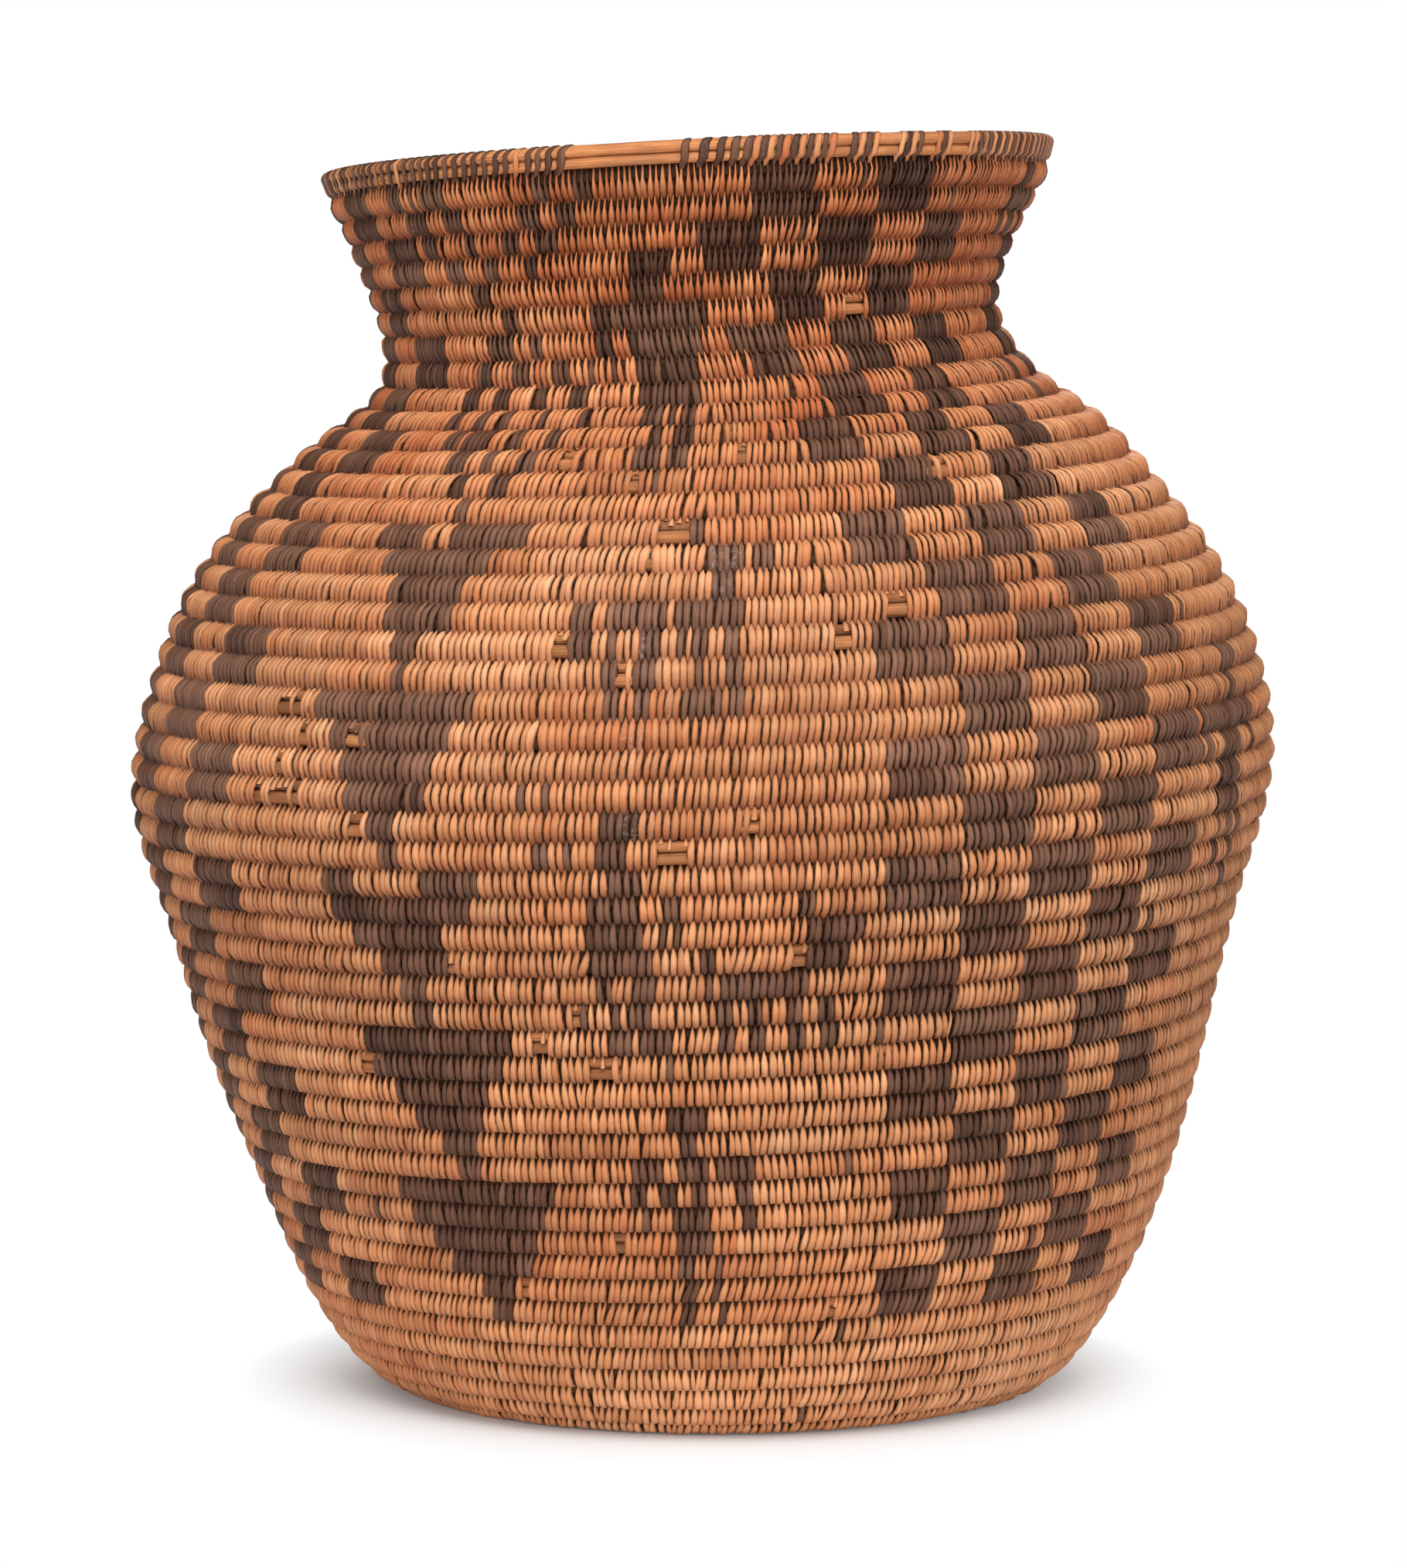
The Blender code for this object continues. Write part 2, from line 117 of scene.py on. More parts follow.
stationRadii = np.array([radius for radius, rise in jar["stations"]])
stationHeights = np.cumsum([rise for radius, rise in jar["stations"]])
stationPoints = np.column_stack((stationRadii, stationHeights))
lipSlope = stationPoints[-1] - stationPoints[-2]
lipSlope = lipSlope / np.hypot(*lipSlope)
wallCurve = smoothCurve(stationPoints, (1.0, 0.0), lipSlope, jar["samples"])
baseRadii = np.linspace(0.0, stationRadii[0], jar["samples"])[:-1]
baseHeights = jar["footSwell"] + jar["baseLift"] * (1 - (baseRadii / stationRadii[0]) ** 2) ** 2
lipEnd = wallCurve[-1] + lipSlope * jar["turnHeights"][-1] * 2
outline = np.vstack((np.column_stack((baseRadii, baseHeights)), wallCurve, lipEnd))
outlineArc = np.concatenate(([0.0], np.cumsum(np.hypot(*np.diff(outline, axis=0).T))))
outlineSlope = np.gradient(outline, outlineArc, axis=0)


def arcAt(station):
    return outlineArc[np.argmin(np.hypot(*(outline - stationPoints[station]).T))]


turnRate = 1 / np.interp(outlineArc, [arcAt(place) for place in jar["turnPlaces"]], jar["turnHeights"])
turnSteps = (turnRate[1:] + turnRate[:-1]) / 2 * np.diff(outlineArc)
turnsUp = np.concatenate(([0.0], np.cumsum(turnSteps)))
turnsUp = turnsUp - np.interp(arcAt(-2), outlineArc, turnsUp)
leanPivot, neckHeight, rimHeight = stationHeights[[jar["belly"], jar["neck"], -2]]
bellyRadius = stationRadii[jar["belly"]]


def heightLine(shares, size):
    # Smooth line against height, through share times size at each station's height
    points = np.array([(share * size, stationHeights[station]) for station, share in shares.items()])
    line = smoothCurve(points, (0.0, 1.0), (0.0, 1.0), jar["samples"])
    return line[:, 1], line[:, 0]


sideRiseLine = heightLine(jar["tiltShares"], math.tan(jar["lean"]) * bellyRadius)
asideLine = heightLine(jar["asideShares"], jar["axisWander"])


def grooveArc(turns):
    # Distance along the outline of the groove above the coil, after so many turns past the rim's front
    return np.interp(turns, turnsUp, outlineArc)


def radiusAt(turns):
    # Radius of the outline at that groove
    return np.interp(grooveArc(turns), outlineArc, outline[:, 0])


def place(arc, proud, angle):
    # Point at a distance along the outline, a height proud of it and an angle round the jar: the mouth drops
    # towards the back, each side rises with its own tilt, and the axis leans and wanders with the height
    radius, height, radiusSlope, heightSlope = (
        np.interp(arc, outlineArc, values) for values in (*outline.T, *outlineSlope.T))
    radius = radius + proud * heightSlope
    height = height - proud * radiusSlope
    mouthShare = np.clip((height - neckHeight) / (rimHeight - neckHeight), 0.0, 1.0)
    height = height - jar["mouthDrop"] * (1 - np.cos(angle)) / 2 * mouthShare
    x = radius * np.sin(angle)
    y = -radius * np.cos(angle)
    z = np.maximum(height + np.interp(height, *sideRiseLine) * x / bellyRadius, jar["lowest"])
    aside = (height - leanPivot) * math.tan(jar["lean"]) + np.interp(height, *asideLine)
    return np.stack((x - aside, y + 0 * z, z), axis=-1)


def gridFaces(count, rows, columns, inward=False):
    # Quads of so many equal grids, each rows x columns, numbered one grid after another, without end faces
    corner = (np.arange(rows - 1)[:, None] * columns + np.arange(columns - 1)).reshape(-1, 1)
    quad = np.array([0, columns, columns + 1, 1] if inward else [0, 1, columns + 1, columns])
    faces = (corner + quad)[None] + np.arange(count)[:, None, None] * rows * columns
    return faces.reshape(-1, 4), np.empty((0, 0), int)


def tubeFaces(count, rings, sides, turned=False):
    # Quads of so many equal tubes whose rings close on themselves, and their flat ends; turned where the
    # section runs the other way round
    ring = np.arange(rings - 1)[:, None] * sides
    side = np.arange(sides)[None]
    beside = (side + 1) % sides
    corners = (ring + side, ring + beside, ring + sides + beside, ring + sides + side)
    quads = np.stack(corners, axis=-1).reshape(-1, 4)
    ends = np.stack((side[0, ::-1], side[0] + (rings - 1) * sides))
    if turned:
        quads, ends = quads[:, ::-1], ends[:, ::-1]
    start = np.arange(count)[:, None, None] * rings * sides
    return (quads + start).reshape(-1, 4), (ends + start).reshape(-1, sides)


def makePiece(name, points, faces, material, uv, looks, nodes=()):
    # A mesh of grid points, with the two parts of its uv and each of its looks spread over the grid
    grid = points.shape[:-1]
    faces, caps = faces
    loops = np.concatenate((faces.ravel(), caps.ravel()))
    sizes = np.repeat((4, caps.shape[1]), (len(faces), len(caps)))
    mesh = bpy.data.meshes.new(name)
    mesh.vertices.add(points.size // 3)
    mesh.vertices.foreach_set("co", points.ravel())
    mesh.loops.add(len(loops))
    mesh.loops.foreach_set("vertex_index", loops.astype(np.int32))
    mesh.polygons.add(len(sizes))
    mesh.polygons.foreach_set("loop_start", (np.cumsum(sizes) - sizes).astype(np.int32))
    mesh.polygons.foreach_set("use_smooth", np.ones(len(sizes), bool))
    spots = np.stack([np.broadcast_to(part, grid).ravel() for part in uv], axis=-1)
    mesh.uv_layers.new(name="splint").data.foreach_set("uv", spots[loops].ravel())
    for key, value in looks.items():
        attribute = mesh.attributes.new(key, "FLOAT", "POINT")
        attribute.data.foreach_set("value", np.broadcast_to(value, grid).ravel().astype(np.float32))
    mesh.update(calc_edges=True)
    mesh.validate()
    mesh.materials.append(material)
    piece = addObject(name, mesh)
    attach(piece, "root")
    if nodes:
        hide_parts(*nodes)


# Woven pattern. A course is a turn of the coil, 48 below the rim's rods and 0 at the foot.
# Degrees go round the jar from 0 at the front, growing to the right. Each row of a chart is a course, with
# the first and last degrees of its spans, one span after another.
panelLayout = {"columns": 5, "squareCourses": 2, "firstCourse": 5, "lastCourse": 48}
panels = {  # courses, the left edge at each, and the width of a column at each
    "right": (
        (5, 10, 14, 18, 22, 26, 30, 34, 38, 42, 46, 48),
        (20.5, 20.4, 19.2, 18.5, 17.3, 17.5, 17.2, 15.8, 13.3, 7.6, 1.7, 0.1),
        (8.2, 7.8, 8.0, 8.0, 8.0, 7.9, 8.2, 8.3, 8.4, 9.2, 10.4, 10.4)),
    "left": (
        (5, 10, 14, 18, 22, 26, 30, 34, 38, 42, 46, 48),
        (-92.0, -92.8, -94.0, -95.0, -94.8, -94.3, -94.0, -94.2, -96.5, -103.0, -102.0, -102.0),
        (8.5, 8.5, 8.4, 8.4, 8.4, 8.4, 8.4, 8.5, 8.8, 10.4, 10.0, 10.0)),
    "back": (
        (5, 20, 34, 42, 48),
        (142.0, 141.0, 140.0, 136.0, 134.0),
        (8.3, 8.2, 8.4, 9.8, 10.4)),
}
triangles = {
    5: (-30.5, -27), 6: (-31, -26), 7: (-34.5, -23.5), 8: (-36.5, -22), 9: (-39, -20), 10: (-40, -18.7),
    11: (-30, -27.5), 12: (-31.5, -27), 13: (-34, -25.5), 14: (-36, -24), 15: (-38, -22),
    16: (-38.5, -20.5), 17: (-31.5, -29.5), 18: (-32.5, -29.5), 19: (-34.5, -26.2), 20: (-37, -26.5),
    21: (-38.7, -23.2), 22: (-39.7, -35.5, -28, -22), 23: (-32.5, -30), 24: (-33.5, -30.5),
    25: (-36, -27), 26: (-37.5, -26.5), 27: (-39, -25.2), 28: (-41.5, -23.5), 29: (-33, -31),
    30: (-33.7, -30.5), 31: (-35, -27.5), 32: (-35.7, -26.5), 33: (-38.7, -24.2),
    34: (-41, -34.7, -31, -20.5),
}
footFigure = {
    13: (-4.7, -0.3), 12: (-3.8, -1.3), 11: (-9, -5.5, -4, -0.3, 0, 4.5),
    10: (-9.8, -7.8, -6, -4.7, -3, -0.5, 2.2, 4.7), 9: (-9, -8, -5.2, -1, 2.5, 4.5), 8: (-5, -2.5),
    7: (-4.5, -3, -0.6, 0.7), 6: (-4.3, -2.8, -0.8, 0.7), 5: (-4.5, -2.8, 0, 1),
}
lowAnimal = {
    20: (10.5, 16.2), 19: (-0.3, 1.2, 10.5, 14.2), 18: (0, 1, 1.5, 10.5),
    17: (1.5, 2.7, 4.7, 6, 8.5, 10, 11.7, 13.7), 16: (1.5, 2.7, 4.7, 6, 8.5, 10, 11.7, 13.7),
}
middleFigure = {
    24: (-9.5, -6), 23: (-9.7, -7.2), 22: (-9, -6), 21: (-11.5, -6, -4, -2),
    20: (-11.2, -5.5, -4.3, -3.5, -2.5, -1.8), 19: (-11.2, -5.2), 18: (-11.2, -9.2, -7.5, -5.2),
    17: (-10, -8.8, -7.2, -5.5), 16: (-10, -8.8, -7, -3.7),
}
highAnimal = {
    34: (-1.5, 0), 33: (0, 1, 1.5, 4.5, 5, 8), 32: (0.5, 3), 31: (-13.5, -11.5, -9.7, -4, -3.2, 4),
    30: (-13.5, -11.7, -9.7, -8.7, -6.7, -4.7, -1, 0, 2, 3.7), 29: (-10.5, -8.2, -7, -4.7, -1, 0, 2, 3.5),
    28: (-9.7, -8.7, -7.2, -5, -2, 1.5, 2, 3.5),
}
neckFigure = {
    45: (-9.7, -2.5), 44: (-9.2, -3.5), 43: (-17.7, -3.5, -3, 3.5),
    42: (-17, -14.2, -11.7, -10.2, -10, 0, 6.5, 8.7), 41: (-11, -0.5), 40: (-11, -1.5),
    39: (-9.7, -7, -5.5, -4.8, -4, -2), 38: (-8.7, -6.7, -4.7, -2.2), 37: (-9.7, -6.5, -5.2, -2.5),
}
neckNet = {
    48: (-55, -51.5, -46.5, -41.5, -25, -21.5, -18, -14.8), 47: (-52, -47, -43, -38.5, -21, -17.5),
    46: (-49.5, -45.5, -40, -37, -32, -28.5, -25.5, -21.5), 45: (-45.5, -41.7, -36.7, -33.5, -28, -25.5),
    44: (-40, -36.2), 43: (-35.5, -32), 41: (-43, -39.5, -35, -31.5, -27.2, -23.2, -16, -14.7),
    40: (-45, -41.5, -38.5, -35, -30.5, -27.5, -23.5, -20),
    39: (-45, -42, -39, -36.5, -34, -32.5, -27.5, -25.5, -20, -19),
    38: (-41.5, -39, -38, -33.5, -30, -27.5, -24.2, -21.5), 37: (-37.5, -35, -32, -30, -26, -23.5),
    36: (-34.5, -32, -29.3, -26.5),
}
sideFigure = {
    28: (65, 69.5), 27: (65.2, 67.5), 26: (58, 71), 25: (58, 60, 62, 66, 69.5, 71), 24: (61, 66),
    23: (61, 66.5), 22: (62, 63, 64, 65, 66.5, 68), 21: (62.5, 63.5, 66, 67.5), 20: (66, 68),
    40: (67, 70), 39: (67, 70),
}
neckSide = {
    48: (69, 73, 84, 90), 47: (66, 80), 46: (66, 68, 71, 74, 77, 82), 45: (74, 84), 44: (78, 88),
    43: (75, 85), 42: (70, 80), 41: (72, 82), 40: (76, 86),
}
brownSpans = {
    8: (-2.5, 0), 22: (-9, -6), 21: (9, 10.7), 23: (-16.2, -14.5), 25: (-17.6, -16.8, -15.4, -14.6),
    47: (-27.7, -24), 42: (-39.5, -34, -30, -28, 0, 2), 41: (-20, -18.5), 35: (-31.6, -30.4),
}
brokenSpans = {  # courses and degrees where stitches are broken, and the rods show
    43: (30, 33), 38: (2.8, 4.5), 37: (-19.6, -18.6, 4, 5), 36: (-10, -9, 30, 33), 34: (-5, -1.5),
    33: (-6.5, -5.5), 31: (19.5, 21.5), 30: (-15, -14.1, 13.6, 14.5), 29: (-8.5, -7.6), 28: (-47, -43),
    27: (-43, -42, -37, -35), 26: (-45.4, -44.6), 25: (-48, -42), 24: (4, 5, -35.5, -34), 23: (-4, -1.5),
    19: (9, 10, -26.4, -25.5), 17: (-13.4, -12.6), 16: (-18, -17), 15: (-12, -9.5, 18.5, 19.5, -40, -38),
    8: (-12.1, -11.3), 6: (-25, -24), 5: (14.5, 15.7),
}
dustSpans = {
    33: (0, 4.5), 32: (0.5, 3), 28: (-9, -5), 27: (-8, -6), 26: (-8.5, -6), 24: (-8, -4), 30: (-7, -4),
}
placements = (  # chart, degrees moved to the right, courses moved up
    (triangles, 0, 0), (footFigure, 0, 0), (lowAnimal, 0, 0), (middleFigure, 0, 0), (highAnimal, 0, 0),
    (neckFigure, 0, 0), (neckNet, 0, 0), (sideFigure, 0, 0), (neckSide, 0, 0), (lowAnimal, 88, -7),
    (middleFigure, 112, 12), (footFigure, 104, 2), (highAnimal, 110, -1), (triangles, 155, 0),
    (neckFigure, 122, 0), (neckNet, 148, 0), (triangles, -136, 0), (footFigure, -121, 0),
    (lowAnimal, -128, 8), (middleFigure, -111, 0), (highAnimal, -122, 2), (neckFigure, -118, 0),
    (neckNet, -108, 0),
)


def coursesNear(turns, angle):
    # Course, and degrees from an angle, for stitches whose turns are counted past the rim's front
    whole = np.round(turns - angle / 360)
    return jar["courses"] + whole, 360 * (turns - whole)


def pairs(spans):
    return zip(spans[::2], spans[1::2])


def inSpans(chart, turns, moved=0, lifted=0):
    # Whether each stitch lies in one of the chart's spans, moved to the right and lifted
    course, degrees = coursesNear(turns, moved)
    found = np.zeros(len(turns), bool)
    for row, spans in chart.items():
        here = course == row + lifted
        for first, last in pairs(spans):
            found |= here & (degrees - moved > first) & (degrees - moved < last)
    return found


def inPanel(panel, turns):
    # Squares two courses high, in five columns, set as on a draught board
    courses, leftEdges, columnWidths = panel
    middle = leftEdges[0] + columnWidths[0] * panelLayout["columns"] / 2
    course, degrees = coursesNear(turns, middle)
    edge = np.interp(course, courses, leftEdges)
    column = np.floor((degrees - edge) / np.interp(course, courses, columnWidths))
    square = (course - panelLayout["firstCourse"]) // panelLayout["squareCourses"] % 2
    high = (course >= panelLayout["firstCourse"]) & (course <= panelLayout["lastCourse"])
    return high & (column >= 0) & (column < panelLayout["columns"]) & (column % 2 == square)


# Sewing: each stitch's foot goes between two stitches of the turn below
sewing = {
    "seed": 11,
    "firstTurn": -61.0,
    "lastTurn": 0.5,
    "pitch": ((-13, -2, 2, 10, 25, 35, 42, 47, 49),  # courses, and the pitch at each
              (0.0020, 0.0019, 0.0018, 0.00185, 0.00195, 0.0018, 0.00165, 0.0015, 0.0015)),
    "slant": ((-13, 0, 8, 14, 30, 40, 49), (0.0004, 0.0010, 0.0009, 0.0006, 0.0003, 0.0003, 0.0002)),
    "slantWave": (0.7, 6.1, 0.71),
    "firstSlant": 0.004,
    "uneven": 0.075,
    "smallestRadius": 0.004,
    "tableSteps": 6000,
    "mostStitches": 40000,
    "wrongGap": 0.6,
    "stepBack": 0.9,
    "follow": 0.10,
}


def sewStitches():
    # The next stitch wants one pitch further on, drawn a little to the free gap in the turn below.
    # A gap too far behind is skipped, and one too far ahead leaves room for two feet in one gap.
    random = np.random.default_rng(sewing["seed"])
    tableTurns = np.linspace(sewing["firstTurn"] - 1, sewing["lastTurn"] + 1, sewing["tableSteps"])
    roundJar = 2 * math.pi * np.maximum(radiusAt(tableTurns - 0.5), sewing["smallestRadius"])
    stepTable = np.interp(tableTurns + jar["courses"], *sewing["pitch"]) / roundJar
    slantTable = np.interp(tableTurns + jar["courses"], *sewing["slant"]) / roundJar
    depth, quick, slow = sewing["slantWave"]
    slantTable *= 1 + depth * np.sin(tableTurns * quick) * np.sin(tableTurns * slow)
    perTurn = sewing["tableSteps"] / (tableTurns[-1] - tableTurns[0])
    tops = list(np.arange(sewing["firstTurn"], sewing["firstTurn"] + 1, stepTable[0] * 2))
    lows = [top - sewing["firstSlant"] for top in tops]
    noise = random.normal(0, sewing["uneven"], sewing["mostStitches"])
    gap = 0
    while tops[-1] < sewing["lastTurn"]:
        here = int((tops[-1] - tableTurns[0]) * perTurn)
        step = stepTable[here]
        low = (tops[gap] + tops[gap + 1]) / 2 + 1
        wish = tops[-1] + step * (1 + noise[len(tops)])
        error = low + slantTable[here] - wish
        if error < -sewing["wrongGap"] * step:
            gap += 1
            continue
        if error > sewing["wrongGap"] * step:
            low = low - step * sewing["stepBack"]
            gap -= 1
        tops.append(wish + sewing["follow"] * error)
        lows.append(low)
        gap += 1
    return np.array(lows), np.array(tops)


colouring = {
    "seed": 5,
    "browned": 0.006,
    "brownedDark": 0.06,
    "dustInSpans": 0.6,
    "dusted": 0.002,
    "dustElsewhere": 0.4,
    "awayFromFront": 75,
    "brokenAway": 0.004,
    "warm": ((-13, 0, 3, 6, 20, 33, 38, 44, 48), (0.30, 0.34, 0.42, 0.54, 0.50, 0.44, 0.66, 0.9, 0.95)),
    "patchWaves": ((3, 31, 1), (2, 23, 0), (7, -60, 0), (5, 0, 3)),  # round the jar, up it, and the start
    "secondPatches": 0.6,
    "warmPatches": 0.15,
    "warmSpread": 0.09,
    "warmBySplint": 0.10,
    "coolerDark": ((20, 26, 34, 38), (0, 0.2, 0.2, 0)),
    "splintRun": 14,
    "splints": 6000,
    "firstDarkSplint": 3000,
    "splintBrown": (-0.15, 0.42, 0.85),
    "tone": ((-13, 2, 7, 14, 18, 28, 32, 35, 40, 44),
             (0.76, 0.74, 0.56, 0.46, 0.32, 0.32, 0.52, 0.84, 0.92, 0.66)),
    "toneDark": ((0, 12, 18, 30, 36, 42), (0.50, 0.48, 0.48, 0.46, 0.50, 0.52)),
    "toneBySplint": 0.16,
    "toneSpread": 0.13,
    # How much painted shade a stitch gets towards its foot and tip, and in its grooves: hardly on the lower
    # wall, plainly from the belly upwards
    "paintedShadeShare": ((0, 8, 16, 22), (0.25, 0.35, 0.75, 1.0)),
    "brownShare": (0.35, 0.5),
}
lows, tops = sewStitches()
stitchTurns = (lows + tops) / 2
stitchCount = len(tops)
random = np.random.default_rng(colouring["seed"])
stitchRadius = np.maximum(radiusAt(stitchTurns - 0.5), sewing["smallestRadius"])
spacing = np.gradient(stitchTurns) * 2 * math.pi * stitchRadius
course, degrees = coursesNear(stitchTurns, 0)


def byCourse(table):
    # A value for each stitch, on straight lines between the values given at some courses
    return np.interp(course, *table)


def scatter(middle, spread):
    return random.normal(middle, spread, stitchCount)


def chance(share):
    return random.random(stitchCount) < share


dark = np.zeros(stitchCount, bool)
for panel in panels.values():
    dark |= inPanel(panel, stitchTurns)
clear = ~inPanel(panels["right"], stitchTurns) & ~inPanel(panels["left"], stitchTurns)
for chart, moved, lifted in placements:
    dark |= inSpans(chart, stitchTurns, moved, lifted) & clear
brown = inSpans(brownSpans, stitchTurns) | chance(colouring["browned"])
brown |= dark & chance(colouring["brownedDark"])
dark = dark | brown
dust = inSpans(dustSpans, stitchTurns) * random.random(stitchCount) * colouring["dustInSpans"]
dust = dust + chance(colouring["dusted"]) * colouring["dustElsewhere"]
broken = inSpans(brokenSpans, stitchTurns)
away = (np.abs(degrees) > colouring["awayFromFront"]) | (course < 1)
broken |= away & chance(colouring["brokenAway"])
print("sewn:", stitchCount, "stitches,", int(dark.sum()), "dark")

# How warm and how dark the splints are, by height, side and patch: waves round the jar and up it make
# patches. A splint lasts for about fourteen stitches of its own colour, and each splint has its own tone.
height = np.interp(grooveArc(stitchTurns - 0.5), outlineArc, outline[:, 1])
radians = 2 * math.pi * stitchTurns
waves = [np.sin(across * radians + up * height + start) for across, up, start in colouring["patchWaves"]]
patches = waves[0] * waves[1] + colouring["secondPatches"] * waves[2] * waves[3]
warm = byCourse(colouring["warm"]) + colouring["warmPatches"] * patches + scatter(0, colouring["warmSpread"])
splint = np.where(dark, np.cumsum(dark), np.cumsum(~dark)) // colouring["splintRun"]
splint = splint + np.where(dark, colouring["firstDarkSplint"], 0)
splintTone = random.normal(0, 1, colouring["splints"])[splint]
splintWarm = random.normal(0, 1, colouring["splints"])[splint]
splintMiddle, splintSpread, splintMost = colouring["splintBrown"]
splintBrown = np.clip(random.normal(splintMiddle, splintSpread, colouring["splints"]), 0, splintMost)[splint]
warm = np.clip(warm + colouring["warmBySplint"] * splintWarm, 0, 1) - dark * byCourse(colouring["coolerDark"])
tone = np.where(dark, byCourse(colouring["toneDark"]), byCourse(colouring["tone"]))
tone = tone + colouring["toneBySplint"] * splintTone + colouring["toneSpread"] * scatter(0, 1)
tone = np.clip(tone, 0, 1)
paintedShadeShare = byCourse(colouring["paintedShadeShare"])
shift = random.random(stitchCount)

stitch = {
    "acrossOutside": (-1.0, -0.66, 0.0, 0.66, 1.0),
    "alongOutside": (0.0, 0.04, 0.13, 0.28, 0.42, 0.53, 0.68, 0.84, 1.0),
    "acrossInside": (-1.0, 0.0, 1.0),
    "alongInside": (0.0, 0.2, 0.5, 0.8, 1.0),
    "fill": 0.538,
    "width": (0.97, 0.09, 0.68, 1.12),  # middle, spread, least and most, as a share of the fill
    "narrowest": 0.00040,
    "widest": 0.00150,
    "wider": ((-13, 8, 16), (1.07, 1.05, 1.0)),
    "brokenWidth": 0.8,
    "thinnest": 0.05,
    "bluntFoot": (0.07, 3, 1 / 3),  # length of the rounded end, and its two powers
    "lensFoot": (0.20, 2, 0.6),
    "lensTop": (0.34, 1.5, 0.9),
    "bluntTop": (0.42, 0.42, 0.78, 1.7),  # start and length of the thinning, how much, and its power
    "dropTop": (0.36, 0.34, 0.72, 1.5),
    "lens": ((-13, 15, 22, 28, 48), (0.0, 0.05, 0.5, 1.0, 1.0)),
    "lensSpread": 0.15,
    "lensMost": 1.1,
    "drop": ((30, 36, 42, 48), (0.0, 0.30, 0.85, 1.0)),
    "dropSpread": 0.12,
    "footReach": 0.0005,
    "lensReach": 0.0013,
    "tipReach": 0.0014,
    "reach": (1.0, 0.22, 0.3, 1.7),
    "lowestArc": (0.0010, 0.0006),
    "leastRadius": 0.0015,
    "crest": 0.00205,
    "crestSpread": 0.00010,
    "footLevel": 0.00030,
    "tipLevel": -0.00025,
    "neckFill": 0.00050,
    "tent": (1.40, 0.85),
    "arch": (2.6, 0.62),
    "ridge": (0.66, 0.34),
    "dome": 0.00024,
    "edge": 0.00050,
    "roll": (-0.00005, 0.00010),  # one edge of a splint lies higher than the other
    "bend": 0.00016 / 6,
    "bendRadius": 0.01,
    "skew": 0.00006,
    "insideCrest": -0.0059,
    "insideGroove": -0.0044,
    "stubShare": 0.75,
    "goneShare": 0.90,
    "stubFrom": (0.50, 0.34),
    "openFrom": 0.4630,  # past the thin end of the rim's rods, where the coil's top lies open
    "openReach": 0.1,
    "overPath": ((-0.0028, 0.0012), (-0.0016, 0.0017), (-0.0005, 0.0012), (0.0002, 0.0), (0.0004, -0.0015),
                 (0.0004, -0.0034), (-0.0003, -0.0050), (-0.0015, -0.0059), (-0.0028, -0.0059)),
    "overUv": (0.32, 0.68),
}


def roundedEnd(away, length, power, root):
    # One over most of a stitch, falling to nothing over the last length of it
    return (1 - np.clip((length - away) / length, 0, 1) ** power) ** root


def thinned(v, start, length, loss, power):
    # One up to the start, then less by up to the loss
    return 1 - loss * np.clip((v - start) / length, 0, 1) ** power


